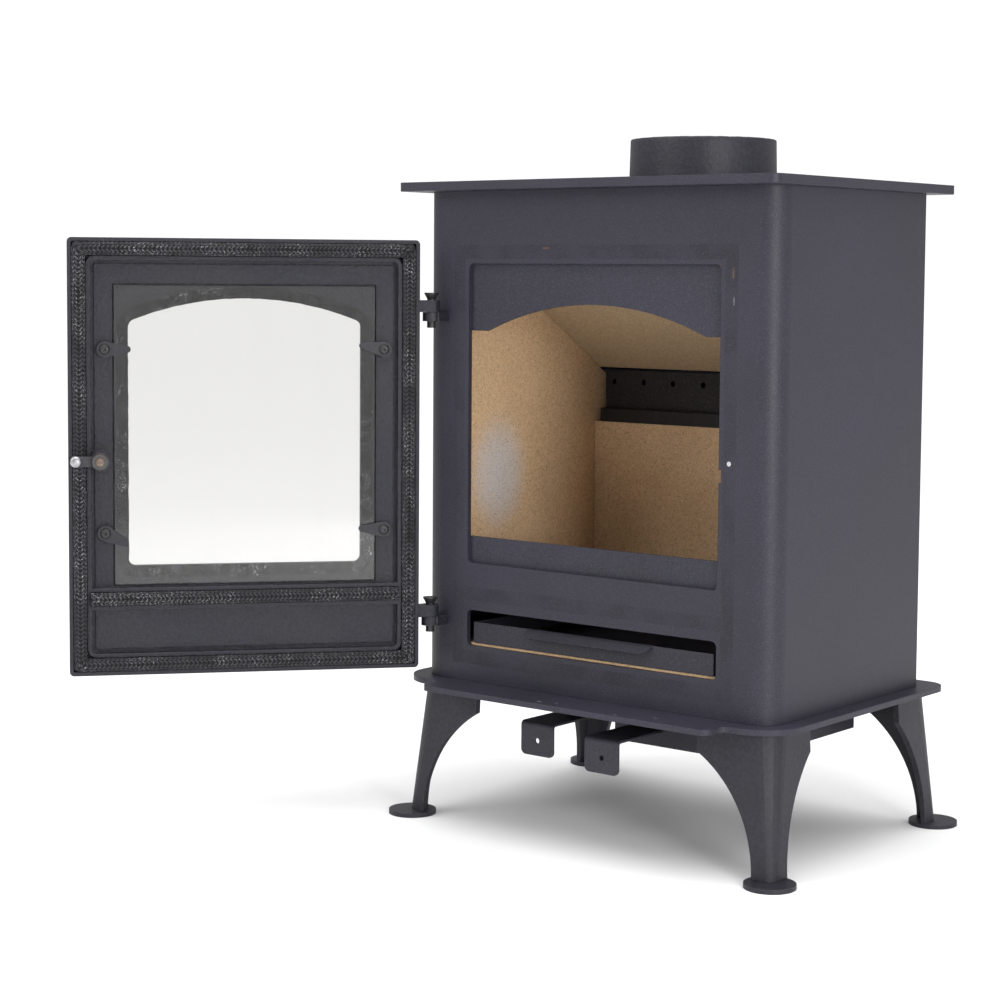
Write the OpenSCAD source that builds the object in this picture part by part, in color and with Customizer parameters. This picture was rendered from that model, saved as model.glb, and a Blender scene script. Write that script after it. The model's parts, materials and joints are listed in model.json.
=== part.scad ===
// Free-standing wood burning stove: steel body on four cast legs, cast door on two lift-off pins.
// Millimetres. +Z up, the door side faces -Y. The origin is on the floor under the centre of the body.

/* [Body] */
// Width of the body across its side walls
body_w = 380; // [370:2:520]
// Depth of the body from front panel to back panel
body_d = 248; // [240:2:340]
// Height of the body between base plate and top plate
body_h = 446; // [440:2:600]
// Outer radius of the two rounded front corners
corner_r = 22; // [14:1:32]
// Thickness of the body's steel sheet
sheet_t = 5; // [4:0.5:6]

/* [Openings in the front panel] */
// Width of the fire opening and of the ash slot
opening_w = 272; // [220:2:284]
// Height of the fire opening
opening_h = 272; // [240:2:300]
// Height of the fire opening's sill above the base plate
opening_sill = 109; // [106:1:130]
// Height of the ash slot
slot_h = 33; // [28:1:36]
// Height of the ash slot's sill above the base plate
slot_sill = 33; // [33:1:36]
// Corner radius of both openings
opening_r = 5; // [2:1:10]
// Rise of the arch cut into the throat plate
arch_rise = 25; // [10:1:30]
// Distance of the arch's ends from the sides of the fire opening
arch_in = 18; // [16:1:40]

/* [Top and flue] */
// Thickness of the top plate
top_t = 8; // [5:1:12]
// Overhang of the top plate past each side wall
top_over_side = 13; // [5:1:40]
// Overhang of the top plate past the front panel
top_over_front = 24; // [5:1:50]
// Overhang of the top plate and of the base plate past the back panel
top_over_back = 35; // [30:1:60]
// Bore of the flue collar, for a 125 mm pipe
flue_bore = 127; // [100:1:155]
// Wall thickness of the flue collar at its foot
collar_t = 4.5; // [4:0.5:8]
// Height of the flue collar
collar_h = 42; // [30:1:80]
// Distance of the flue's axis from the back panel
flue_from_back = 75; // [75:1:110]

/* [Base and legs] */
// Thickness of the base plate
base_t = 5; // [4:0.5:8]
// Overhang of the base plate's corners past the body
base_over = 17; // [12:1:25]
// Overhang of the base plate past the back panel
base_over_back = 31; // [25:1:45]
// How far the front lip stands out past the base plate's corners
lip_out = 26; // [10:1:40]
// Half width of the front lip
lip_half_w = 155; // [120:1:165]
// Height of a leg from foot disc to base plate
leg_h = 122; // [90:1:200]
// Wall thickness of a cast leg
leg_t = 6; // [4:0.5:8]
// Outward splay of a leg from top to bottom, along X and along Y
leg_splay = 20; // [0:1:25]
// Diameter of a foot disc
foot_dia = 44; // [36:1:60]
// Thickness of a foot disc
foot_t = 4; // [3:0.5:10]

/* [Fire chamber] */
// Thickness of the side bricks
side_brick_t = 25; // [20:1:32]
// Thickness of the back brick
back_brick_t = 20; // [15:1:30]
// Height of the grate deck above the base plate
deck_z = 73; // [70:1:76]
// Height of the back brick above the grate deck
back_brick_h = 150; // [120:1:170]
// Height of the baffle's rear lower edge above the base plate
baffle_z = 280; // [275:1:300]
// Slope of the baffle, rising to the front
baffle_slope = 31.5; // [20:0.5:35]
// Thickness of the baffle board
baffle_t = 20; // [15:1:25]
// Depth of the baffle board from rear to front
baffle_run = 166; // [120:1:175]
// Thickness of the vermiculite board under the ash pan
floor_board_t = 30; // [20:1:30]
// Thickness of the grate deck's sheet
deck_t = 4; // [3:0.5:5]
// Number of holes in the rear air box
air_holes = 9; // [3:2:9]

/* [Door] */
// How far the door stands open from closed, in degrees
door_angle = 130; // [0:5:150]
// Distance from the opening's edge to the rope channel
seal_gap = 4.5; // [3:0.5:6]
// Width of the rope channel
rope_w = 12.5; // [8:0.5:14]
// Width of the lip outside the rope channel
door_lip = 3.5; // [3:0.5:5]
// How far the rope stands out of its channel
rope_proud = 4.5; // [3:0.5:6]
// Distance of the hinge axis in front of the front panel
hinge_out = 14; // [13:0.5:16]
// Distance of the hinge axis from the door's edge
hinge_side = 12; // [10:0.5:14]
// Diameter of the hinge pins
pin_dia = 8; // [6:0.5:9]
// Distance of the window from the sides of the fire opening
window_in = 32; // [30:1:60]
// Height of the door above the window's arch
window_head = 53; // [52:1:90]
// Rise of the window's arch
window_rise = 21; // [10:1:30]
// Height of the window's sill above the door's lower edge
window_sill = 97; // [97:1:100]
// Thickness of the glass
glass_t = 4; // [3:0.5:5]

/* [Ash pan] */
// Play of the ash pan at each side of the ash slot
pan_in = 5; // [3:0.5:40]
// Height of the ash pan's front
pan_h = 19; // [14:1:22]
// Space behind the ash pan
pan_rear = 34; // [24:1:80]

/* [Air sliders] */
// Width of a slider's strap
strap_w = 36; // [26:1:40]
// Thickness of a slider's strap
strap_t = 2; // [1.5:0.5:3]
// Height of a slider's front tab
tab_h = 30; // [20:1:34]
// Diameter of the knob hole in a slider's tab
knob_hole = 5; // [4:0.5:6.5]

/* [Hidden] */
$fn = 64;

// Clearances
gap = 0.3;            // between pieces that move past each other
run_fit = 0.06;       // radial clearance of a turning fit
screw_fit = 0.05;     // radial clearance of a screw in its hole
brick_gap = 1;        // play round the bricks
pan_gap = 0.5;        // play under the ash pan

// Levels
base_z = foot_t + leg_h;
body_z = base_z + base_t;
top_z = body_z + body_h;
front_y = -body_d / 2;
back_y = body_d / 2;
inner_x = body_w / 2 - sheet_t;
inner_front = front_y + sheet_t;
inner_back = back_y - sheet_t;
slot_z = body_z + slot_sill;
opening_z = body_z + opening_sill;
deck_top = body_z + deck_z + deck_t;
cross_z = (2 * (slot_z + slot_h) + opening_z) / 3 + 0.7;   // middle of the rope between slot and fire opening

// Plates behind the front panel
plate_t = 3;
plate_lap = 14;       // how far they reach past the opening
throat_drop = 60.5;   // how far the throat plate hangs below the opening's top
throat_h = 80;
arch_half_w = opening_w / 2 - arch_in;
guard_show = 24;      // height of the log guard above the sill

// Corner outlines of base plate and legs
corner_x = body_w / 2 - corner_r;
corner_y = front_y + corner_r;
base_r = corner_r + base_over;
base_rear_r = 20;
leg_rear_y = back_y + base_over_back - base_rear_r - 13;
leg_r = 25;
leg_room = 60;        // how far a leg's outlines are drawn past its corner's centre
leg_foot_r = 12;
leg_front_reach = 47; // from the corner's centre along the front flange
leg_side_reach = 36;  // from the corner's centre along the side flange
leg_collar = 23;      // straight height at the top of a leg
leg_pad = 24;         // reach of the bolted pad from the corner's centre
bolt_r = 4;
leg_bolt_in = 3;      // bolt axis inside the corner's centre
leaf = 0.01;          // thickness of the two outlines that a leg is stretched between
lap = 1;              // how far joined outlines reach into each other

// Rear air box
ledge_h = 13;
ledge_y = inner_back - 21.5;
box_y = inner_back - 13;
box_half_w = inner_x - side_brick_t - 9.5;
ledge_z = deck_top + back_brick_h;
box_top = body_z + baffle_z - 2;
box_t = 2;
air_hole_r = 2.75;
air_pitch = 35;

// Baffle line
function baffle_under(y) = body_z + baffle_z + (box_y - y) * tan(baffle_slope);
brick_rise = 94;      // height of the side bricks above the baffle's rear edge
brick_top = body_z + baffle_z + brick_rise;
brick_knee = box_y - brick_rise / tan(baffle_slope);
brick_front = inner_front + plate_t + brick_gap;

// Grate
grate_w = 196;
grate_d = 136;
grate_t = 10;
grate_lap = 6;
grate_bars = 9;
grate_end = 14;       // solid ends of the grate
grate_edge = 12;      // solid edges of the grate
ledger_w = 12;
ledger_h = 16;

// Ash floor
board_top = body_z + sheet_t + floor_board_t;
rail_t = 2;
rail_h = 10;
pan_t = 1.5;
pan_y = inner_front - 1;
pan_w = opening_w - 2 * pan_in;
pan_d = inner_back - pan_y - pan_rear;
tab_half_w = 69;
tab_out = 12;

// Heat shield
shield_t = 2;
shield_foot = 6;      // lower edge of the shield above the base plate
shield_short = 20;    // how much shorter the shield is than the body
shield_gap = 18;
shield_half_w = body_w / 2 - 14;
screw_r = 3;
shield_x = body_w / 2 - 60;
shield_low = body_z + 60;
shield_high = top_z - 60;

// Air supply under the base
strap_z = base_z - 21;                 // upper face of both straps
left_strap_x = -48;
right_strap_x = 37;
left_tab_y = front_y - 7;
right_tab_y = front_y - 26;
duct_t = 2;
duct_x0 = 4;
duct_x1 = corner_x - leg_pad - 4;
duct_y0 = front_y + 39;
duct_y1 = back_y - 24;
duct_z0 = base_z - 36;
riser_x = (duct_x0 + duct_x1) / 2;
riser_w = 60;
riser_d = 8;
channel_d = 12;                        // depth of the air channels in the board under the ash pan
throat_wall = 4;
throat_y0 = front_y + 60;
throat_d = 70;
slider_in = 75;                        // length of strap inside the throat or duct
slider_lip = 10;

// Door, in its own frame: X from the hinge axis along the closed door, Y into the stove
door_reach = seal_gap + rope_w + door_lip;
door_w = opening_w + 2 * door_reach;
door_z0 = slot_z - door_reach;
door_z1 = opening_z + opening_h + door_reach;
door_h = door_z1 - door_z0;
hinge_x = -(door_w / 2 + hinge_side);
hinge_y = front_y - hinge_out;
door_mid = hinge_side + door_w / 2;
lip_y = hinge_out - rope_proud;
panel_y = lip_y - 7;
outer_y = panel_y - 7.5;
channel_y = lip_y - 8;
rib_y = lip_y - 1;
rib_w = 3.5;
rope_corner = 5;      // outer corner radius of the rope and its channel
groove_w = 3.5;
trim_w = 9;           // raised border and window trim on the outside
ash_trim_in = 22;     // ash panel trim: inset from the door's edge, height and width
ash_trim_h = 48;
ash_trim_w = 5;
window_z = door_z0 + window_sill;
window_w = opening_w - 2 * window_in;
window_h = door_h - window_sill - window_head;
window_corner = 6;    // radius of the window's lower corners
glass_side = 12;      // lap of the glass past the window at the sides
glass_low = 16;       // lap of the glass below the sill
glass_high = 11;      // lap of the glass above the arch
glass_play = 1.5;
tape_t = 1.5;
tape_w = 11;
rebate_y = panel_y - 3;
glass_y = rebate_y + tape_t;
glass_front = glass_y + glass_t;
window_r = window_w * window_w / 8 / window_rise + window_rise / 2;

// Hinge lugs
lug_r = 8;
lug_inner = 9;        // reach of the body's lug towards the door, clear of the closed door's edge
lug_body_h = 8;
lug_door_h = 11;
pin_r = pin_dia / 2;
pin_head_r = 6.5;
pin_head_h = 4.5;
upper_lug_z = door_z1 - 65;            // joint plane of the upper hinge
lower_lug_z = door_z0 + 45.5;          // joint plane of the lower hinge

// Glass clips
clip_x = window_w / 2 + 20.5;
clip_low = window_z + 30;
clip_high = window_z + window_h - 45.5;
clip_t = 2.5;
clip_len = 20;
clip_screw_r = 2.5;
clip_boss_r = 6;
clip_places = [[-clip_x, clip_low, 3], [-clip_x, clip_high, 10],
               [clip_x, clip_low, 208], [clip_x, clip_high, 180]];

// Latch
latch_in = 7;         // spindle axis inside the fire opening's edge
latch_x = door_mid + opening_w / 2 - latch_in;
latch_z = opening_z + 96;
latch_len = 21;
spindle_r = 5;
arm_y = hinge_out + sheet_t + 3.5;
arm_t = 3;
arm_w = 9;
stem_r = 3.5;         // threaded end of the spindle and stub of the lever
lever_stub = 40;      // length of lever inside the grip
stud_r = 5;
boss_r = latch_in + seal_gap - rib_w + lap;   // the boss runs into the channel wall
lever_out = 22;
lever_len = 78;
notch_d = 2.5;        // notch in the opening's edge that lets the latch arm in
notch_h = arm_w + 2;
catch_x = opening_w / 2 + 10;
catch_z = latch_z + 11;
catch_pin_r = 2;
catch_w = 14;
catch_h = 12;

// ---------- outlines ----------
module rounded(w, h, r) {
    square([w - 2 * r, h], center = true);
    square([w, h - 2 * r], center = true);
    for (x = [-1, 1], y = [-1, 1]) translate([x * (w / 2 - r), y * (h / 2 - r)]) circle(r);
}

// Outline with rounded front corners and a square back
module body_outline(inset) {
    r = corner_r - inset;
    half = body_w / 2 - inset;
    for (s = [-1, 1]) translate([s * corner_x, corner_y]) circle(r);
    translate([-corner_x, front_y + inset]) square([2 * corner_x, corner_r]);
    translate([-half, corner_y]) square([2 * half, back_y - corner_y]);
}

module base_outline() {
    half = body_w / 2 + base_over;
    y0 = front_y - base_over;
    y1 = back_y + base_over_back;
    step_r = lip_out / 3;
    for (s = [-1, 1]) {
        translate([s * corner_x, corner_y]) circle(base_r);
        translate([s * (half - base_rear_r), y1 - base_rear_r]) circle(base_rear_r);
    }
    translate([-corner_x, y0]) square([2 * corner_x, y1 - y0]);
    translate([-half, corner_y]) square([2 * half, y1 - base_rear_r - corner_y]);
    translate([base_rear_r - half, corner_y]) square([2 * (half - base_rear_r), y1 - corner_y]);
    // front lip with an ogee at each end
    translate([-lip_half_w, y0 - lip_out + step_r]) square([2 * lip_half_w, lip_out]);
    translate([step_r - lip_half_w, y0 - lip_out]) square([2 * (lip_half_w - step_r), lip_out]);
    for (s = [-1, 1]) {
        translate([s * (lip_half_w - step_r), y0 - lip_out + step_r]) circle(step_r);
        difference() {
            translate([s * (lip_half_w + (step_r - lap) / 2) - (step_r + lap) / 2, y0 - step_r])
                square(step_r + lap);
            translate([s * (lip_half_w + step_r), y0 - step_r]) circle(step_r);
        }
    }
}

// Upright outlines are drawn in X and Z, then stood up along Y from y0 for a depth
module upright(y0, depth) {
    translate([0, y0 + depth, 0]) rotate([90, 0, 0]) linear_extrude(depth) children();
}

// Outlines drawn in Y and Z, run along X about the middle
module crosswise(w) {
    translate([-w / 2, 0, 0]) rotate([90, 0, 90]) linear_extrude(w) children();
}

module window_outline(grow) {
    w = window_w + 2 * grow;
    spring = window_z + window_h - window_rise;
    r = window_corner + grow;
    translate([-w / 2, window_z - grow + r]) square([w, spring - window_z + grow - r]);
    translate([r - w / 2, window_z - grow]) square([w - 2 * r, 2 * r]);
    for (s = [-1, 1]) translate([s * (w / 2 - r), window_z - grow + r]) circle(r);
    intersection() {
        translate([-w / 2, spring - 1]) square([w, window_rise + grow + 1]);
        translate([0, window_z + window_h - window_r]) circle(window_r + grow, $fn = 180);
    }
}

module place_door() {
    translate([hinge_x, hinge_y, 0]) rotate([0, 0, -door_angle]) children();
}

// ---------- body ----------
module body_shell() {
    color("#46454b") difference() {
        translate([0, 0, body_z]) linear_extrude(body_h) difference() {
            body_outline(0);
            difference() {
                body_outline(sheet_t);
                translate([-body_w, back_y]) square([2 * body_w, 1]);
            }
            translate([-inner_x, inner_back - 1]) square([2 * inner_x, sheet_t + 2]);
        }
        upright(front_y - 1, sheet_t + 2) {
            translate([0, opening_z + opening_h / 2]) rounded(opening_w, opening_h, opening_r);
            translate([0, slot_z + slot_h / 2]) rounded(opening_w, slot_h, opening_r);
            translate([opening_w / 2 - lap, latch_z - notch_h / 2]) square([notch_d + lap, notch_h]);
        }
        translate([catch_x, front_y - 1, catch_z]) rotate([-90, 0, 0])
            cylinder(sheet_t + 2, catch_pin_r + screw_fit, catch_pin_r + screw_fit);
    }
}

module back_panel() {
    color("#3f3e44") difference() {
        translate([-inner_x, inner_back, body_z]) cube([2 * inner_x, sheet_t, body_h]);
        shield_places() cylinder(4 * sheet_t, screw_r + screw_fit, screw_r + screw_fit, center = true);
    }
}

module floor_panel() {
    color("#3f3e44") difference() {
        translate([0, 0, body_z]) linear_extrude(sheet_t) intersection() {
            body_outline(sheet_t);
            translate([-inner_x, inner_front]) square([2 * inner_x, inner_back - inner_front]);
        }
        air_cuts(body_z - 1, sheet_t + 2);
    }
}

// The two air holes: primary air from the throat, and secondary air from the duct to the riser
module air_cuts(z, h) {
    translate([left_strap_x - strap_w / 2 + 4, throat_y0 + 6, z]) cube([strap_w - 8, throat_d - 12, h]);
    translate([riser_x - riser_w / 2, duct_y1 - 40, z]) cube([riser_w, 30, h]);
}
// The riser carries secondary air up behind the back brick
module riser_cut(z, h) {
    translate([riser_x - riser_w / 2, inner_back - brick_gap - riser_d, z]) cube([riser_w, riser_d + 2, h]);
}

module top_plate() {
    color("#46454b") difference() {
        translate([0, (top_over_back - top_over_front) / 2, top_z]) linear_extrude(top_t)
            rounded(body_w + 2 * top_over_side, body_d + top_over_front + top_over_back, 10);
        translate([0, back_y - flue_from_back, top_z - 1])
            cylinder(top_t + 2, flue_bore / 2, flue_bore / 2, $fn = 128);
    }
}

module flue_collar() {
    r = flue_bore / 2;
    color("#4a494f") translate([0, back_y - flue_from_back, top_z + top_t]) rotate_extrude($fn = 128)
        polygon([[r, 0], [r + collar_t, 0], [r + collar_t - 1, collar_h], [r, collar_h]]);
}

module base_plate() {
    color("#46454b") difference() {
        translate([0, 0, base_z]) linear_extrude(base_t) base_outline();
        air_cuts(base_z - 1, base_t + 2);
        leg_places() translate([-leg_bolt_in, -leg_bolt_in, base_z - 1])
            cylinder(base_t + 2, bolt_r + screw_fit, bolt_r + screw_fit);
        base_bolt_places(base_z - 1) cylinder(base_t + 2, screw_r + screw_fit, screw_r + screw_fit);
    }
}

// ---------- legs ----------
// Each leg is drawn for the +X, +Y corner, about the corner's centre, and mirrored into place
module leg_at(sx, sy) {
    translate([sx * corner_x, sy < 0 ? corner_y : leg_rear_y, 0])
        mirror([sx < 0 ? 1 : 0, 0, 0]) mirror([0, sy < 0 ? 1 : 0, 0]) children();
}
module leg_places() {
    for (sx = [-1, 1], sy = [-1, 1]) leg_at(sx, sy) children();
}
// A solid corner post, splayed outwards to the foot; the inner one is longer at both ends
module leg_block(inset, longer) {
    hull() {
        leg_section(leg_splay, leg_foot_r - inset * 0.8, foot_t - longer);
        leg_section(0, leg_r - inset, base_z + longer - leaf);
    }
}
module leg_section(shift, r, z) {
    translate([shift, shift, z]) {
        cylinder(leaf, r, r, $fn = 32);
        translate([-leg_room, -leg_room, 0]) cube([leg_room + r, 1, leaf]);
        translate([-leg_room, -leg_room, 0]) cube([1, leg_room + r, leaf]);
    }
}
// Side view of one flange: straight at the top, then swept in along an arc to the foot
module flange_outline(reach, foot_reach) {
    drop = leg_h - leg_collar;
    back = reach - foot_reach;
    r = (drop * drop + back * back) / (2 * back);
    difference() {
        translate([-reach, foot_t]) square([reach + leg_room, leg_h]);
        intersection() {
            translate([-foot_reach - r, foot_t]) circle(r, $fn = 160);
            translate([-reach - 1, foot_t - 1]) square([reach + leg_room + 1, drop + 1]);
        }
    }
}
module leg() {
    front_foot = 8 - leg_splay;
    color("#3b3a40") intersection() {
        difference() {
            leg_block(0, 0);
            difference() {
                leg_block(leg_t, 1);
                translate([-leg_pad, -leg_pad, base_z - leg_t])
                    cube([leg_pad + leg_r, leg_pad + leg_r, leg_t]);
            }
            translate([-leg_bolt_in, -leg_bolt_in, base_z - leg_t * 2])
                cylinder(3 * leg_t, bolt_r + 0.2, bolt_r + 0.2);
        }
        translate([0, 90, 0]) rotate([90, 0, 0]) linear_extrude(180)
            flange_outline(leg_front_reach, front_foot);
        translate([-90, 0, 0]) rotate([90, 0, 90]) linear_extrude(180)
            flange_outline(leg_side_reach, front_foot + 5);
    }
}
module foot_discs() {
    color("#3b3a40") leg_places() translate([leg_splay + 8, leg_splay + 8, 0])
        cylinder(foot_t, foot_dia / 2, foot_dia / 2);
}
module leg_bolts() {
    color("#5a5a60") leg_places() translate([-leg_bolt_in, -leg_bolt_in, base_z - leg_t]) {
        translate([0, 0, -5]) cylinder(5, 7, 7, $fn = 6);
        cylinder(leg_t + base_t, bolt_r, bolt_r);
    }
}

// ---------- heat shield ----------
module shield_places() {
    for (x = [-shield_x, shield_x], z = [shield_low, shield_high])
        translate([x, back_y, z]) rotate([-90, 0, 0]) children();
}
module heat_shield() {
    color("#3f3e44") difference() {
        translate([-shield_half_w, back_y + shield_gap, body_z + shield_foot])
            cube([2 * shield_half_w, shield_t, body_h - shield_short]);
        shield_places() translate([0, 0, shield_gap - 1])
            cylinder(shield_t + 2, screw_r + screw_fit, screw_r + screw_fit);
    }
}
module shield_spacers() {
    color("#7c7c80") shield_places() difference() {
        cylinder(shield_gap, 6, 6);
        translate([0, 0, -1]) cylinder(shield_gap + 2, screw_r + screw_fit, screw_r + screw_fit);
    }
}
module shield_screws() {
    color("#8c8c90") shield_places() {
        translate([0, 0, 1 - sheet_t]) cylinder(sheet_t - 1 + shield_gap + shield_t, screw_r, screw_r);
        translate([0, 0, shield_gap + shield_t]) cylinder(3, 6, 5);
    }
}

// ---------- plates behind the front panel ----------
module throat_plate() {
    half = opening_w / 2 + plate_lap;
    low = opening_z + opening_h - throat_drop;
    arch_r = arch_half_w * arch_half_w / 2 / arch_rise + arch_rise / 2;
    color("#46454b") upright(inner_front, plate_t) difference() {
        translate([-half, low]) square([2 * half, throat_h]);
        intersection() {
            translate([0, low + arch_rise - arch_r]) circle(arch_r, $fn = 240);
            translate([-arch_half_w, low - 1]) square([2 * arch_half_w, arch_rise + 2]);
        }
    }
}
module log_guard() {
    half = opening_w / 2 + plate_lap;
    color("#46454b") upright(inner_front, plate_t)
        translate([-half, deck_top]) square([2 * half, opening_z + guard_show - deck_top]);
}
module catch_plate() {
    color("#b9bbc0") {
        translate([catch_x, front_y, catch_z]) rotate([-90, 0, 0])
            cylinder(sheet_t, catch_pin_r, catch_pin_r);
        translate([catch_x - 4, inner_front, catch_z - 4]) cube([catch_w, plate_t, catch_h]);
    }
}

// ---------- fire chamber ----------
module side_brick() {
    rear = inner_back - brick_gap;
    intersection() {
        translate([inner_x - 2 * brick_gap - side_brick_t, 0, 0]) rotate([90, 0, 90]) linear_extrude(side_brick_t)
            polygon([[brick_front, deck_top], [rear, deck_top], [rear, baffle_under(rear)],
                     [brick_knee, brick_top], [brick_front, brick_top]]);
        // the front edge is eased to clear the rounded corner of the body
        translate([0, 0, deck_top - 1]) linear_extrude(body_h) body_outline(sheet_t + brick_gap);
    }
}
module side_brick_left() { color("#b79a72") mirror([1, 0, 0]) side_brick(); }
module side_brick_right() { color("#b79a72") side_brick(); }
module back_brick() {
    half = inner_x - 2 * brick_gap - side_brick_t - 0.5;
    color("#b79a72") difference() {
        translate([-half, inner_back - brick_gap - back_brick_t, deck_top])
            cube([2 * half, back_brick_t, back_brick_h]);
        riser_cut(deck_top - 1, back_brick_h + 2);
    }
}
module baffle_board() {
    front = box_y - baffle_run;
    rise = baffle_t / cos(baffle_slope);
    color("#c0a47c") crosswise(2 * (inner_x - brick_gap)) polygon([
        [box_y - 0.5, baffle_under(box_y - 0.5)], [front, baffle_under(front)],
        [front, baffle_under(front) + rise], [box_y - 0.5, baffle_under(box_y - 0.5) + rise]]);
}
module rear_air_box() {
    color("#333237") difference() {
        crosswise(2 * box_half_w) {
            translate([ledge_y, ledge_z]) square([inner_back - ledge_y, ledge_h]);
            translate([box_y, ledge_z]) square([inner_back - box_y, box_top - ledge_z]);
        }
        crosswise(2 * (box_half_w - box_t)) {
            translate([ledge_y + box_t, ledge_z + box_t])
                square([inner_back - ledge_y, ledge_h - 2 * box_t]);
            translate([box_y + box_t, ledge_z + box_t])
                square([inner_back - box_y, box_top - ledge_z - 2 * box_t]);
        }
        riser_cut(ledge_z - 1, box_t + 2);
        for (i = [0 : air_holes - 1])
            translate([(i - (air_holes - 1) / 2) * air_pitch, box_y - 1, box_top - 11.5])
                rotate([-90, 0, 0]) cylinder(box_t + 2, air_hole_r, air_hole_r);
    }
}
module deck_supports() {
    color("#3f3e44") for (s = [-1, 1])
        translate([s * (inner_x - ledger_w / 2) - ledger_w / 2, inner_front + corner_r, deck_top - deck_t - ledger_h])
            cube([ledger_w, inner_back - inner_front - corner_r - 4, ledger_h]);
}
module grate_deck() {
    color("#333237") difference() {
        translate([0, 0, deck_top - deck_t]) linear_extrude(deck_t) intersection() {
            body_outline(sheet_t + brick_gap);
            translate([-body_w / 2, front_y]) square([body_w, inner_back - brick_gap - front_y]);
        }
        translate([-grate_w / 2 + grate_lap, -grate_d / 2 + grate_lap, deck_top - deck_t - 1])
            cube([grate_w - 2 * grate_lap, grate_d - 2 * grate_lap, deck_t + 2]);
        riser_cut(deck_top - deck_t - 1, deck_t + 2);
    }
}
module fire_grate() {
    slot_w = (grate_w - 2 * grate_edge) / grate_bars;
    color("#2c2b2f") difference() {
        translate([0, 0, deck_top]) linear_extrude(grate_t) rounded(grate_w, grate_d, 6);
        for (i = [0 : grate_bars - 1])
            translate([grate_edge - grate_w / 2 + slot_w * (i + 0.25), grate_end - grate_d / 2, deck_top - 1])
                cube([slot_w / 2, grate_d - 2 * grate_end, grate_t + 2]);
    }
}
module ash_floor_board() {
    low = body_z + sheet_t;
    half = inner_x - corner_r;
    hole_y = throat_y0 + throat_d / 2;
    color("#b79a72") difference() {
        translate([-half, inner_front + 0.5, low]) cube([2 * half, inner_back - inner_front - 1.5, floor_board_t]);
        air_cuts(low - 1, floor_board_t + 2);
        // channels that lead the air out past the ash pan
        translate([-pan_w / 2 - 22, hole_y - 12, board_top - channel_d])
            cube([pan_w / 2 + 22 + left_strap_x, 24, channel_d + 1]);
        translate([riser_x - riser_w / 2, duct_y1 - 40, board_top - channel_d])
            cube([riser_w, inner_back - duct_y1 + 41, channel_d + 1]);
    }
}
module pan_rails() {
    color("#3f3e44") for (s = [-1, 1])
        translate([s * (pan_w / 2 + gap + rail_t / 2) - rail_t / 2, pan_y + 10, board_top])
            cube([rail_t, pan_d - 10, rail_h]);
}
module ash_pan() {
    z = board_top + pan_gap;
    color("#333237") {
        difference() {
            translate([-pan_w / 2, pan_y, z]) cube([pan_w, pan_d, pan_h]);
            translate([-pan_w / 2 + pan_t, pan_y + pan_t, z + pan_t])
                cube([pan_w - 2 * pan_t, pan_d - 2 * pan_t, pan_h]);
        }
        // finger tab, folded forward and down from the top edge
        translate([0, pan_y, z + pan_h]) rotate([30, 0, 0]) translate([0, 0, -pan_t]) linear_extrude(pan_t)
            polygon([[-tab_half_w, 0.9], [tab_half_w, 0.9], [tab_half_w - 3, -tab_out + 4],
                     [tab_half_w - 9, -tab_out], [9 - tab_half_w, -tab_out], [3 - tab_half_w, 4 - tab_out]]);
    }
}

// ---------- air supply under the base ----------
module base_bolt_places(z) {
    for (p = [[-4, front_y + 30], [92, duct_y0 - 8], [92, duct_y1 + 10]]) translate([p.x, p.y, z]) children();
}
module base_bolts() {
    color("#6a6a70") base_bolt_places(base_z) {
        translate([0, 0, -5]) cylinder(5, 6, 6, $fn = 6);
        cylinder(base_t, screw_r, screw_r);
    }
}
// Rectangular air duct, open at the top, with a shelf that the right slider closes
module air_duct() {
    w = duct_x1 - duct_x0;
    d = duct_y1 - duct_y0;
    shelf_z = strap_z + gap;
    color("#3b3a40") difference() {
        union() {
            difference() {
                translate([duct_x0, duct_y0, duct_z0]) cube([w, d, base_z - duct_z0]);
                translate([duct_x0 + duct_t, duct_y0 + duct_t, duct_z0 + duct_t])
                    cube([w - 2 * duct_t, d - 2 * duct_t, base_z - duct_z0]);
            }
            translate([duct_x0, duct_y0, shelf_z]) cube([w, d, duct_t]);
            for (s = [-1, 1]) translate([right_strap_x + s * (strap_w / 2 - slider_lip / 4) - slider_lip / 2,
                duct_y0, strap_z - strap_t - gap - duct_t]) cube([slider_lip, throat_d + 20, duct_t]);
        }
        translate([right_strap_x - strap_w / 2 - gap, duct_y0 - 1, strap_z - strap_t - gap])
            cube([strap_w + 2 * gap, duct_t + 2, strap_t + 2 * gap]);
        translate([right_strap_x - strap_w / 2 + 5, duct_y0 + 12, shelf_z - 1])
            cube([strap_w - 10, 50, duct_t + 2]);
        translate([duct_x0 + w / 2 - 20, duct_y1 - 25, duct_z0 - 1]) cube([40, 15, duct_t + 2]);
    }
}
module primary_throat() {
    half = strap_w / 2 + gap + throat_wall;
    low = strap_z - strap_t - gap - duct_t;
    color("#3b3a40") translate([left_strap_x, throat_y0, 0]) {
        for (s = [-1, 1]) {
            translate([s * (half - throat_wall / 2) - throat_wall / 2, 0, low])
                cube([throat_wall, throat_d, base_z - low]);
            translate([s * (half - slider_lip / 2) - slider_lip / 2, 0, low])
                cube([slider_lip, throat_d, duct_t]);
        }
        for (y = [0, throat_d - duct_t]) translate([-half, y, strap_z + gap])
            cube([2 * half, duct_t, base_z - strap_z - gap]);
    }
}
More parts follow.
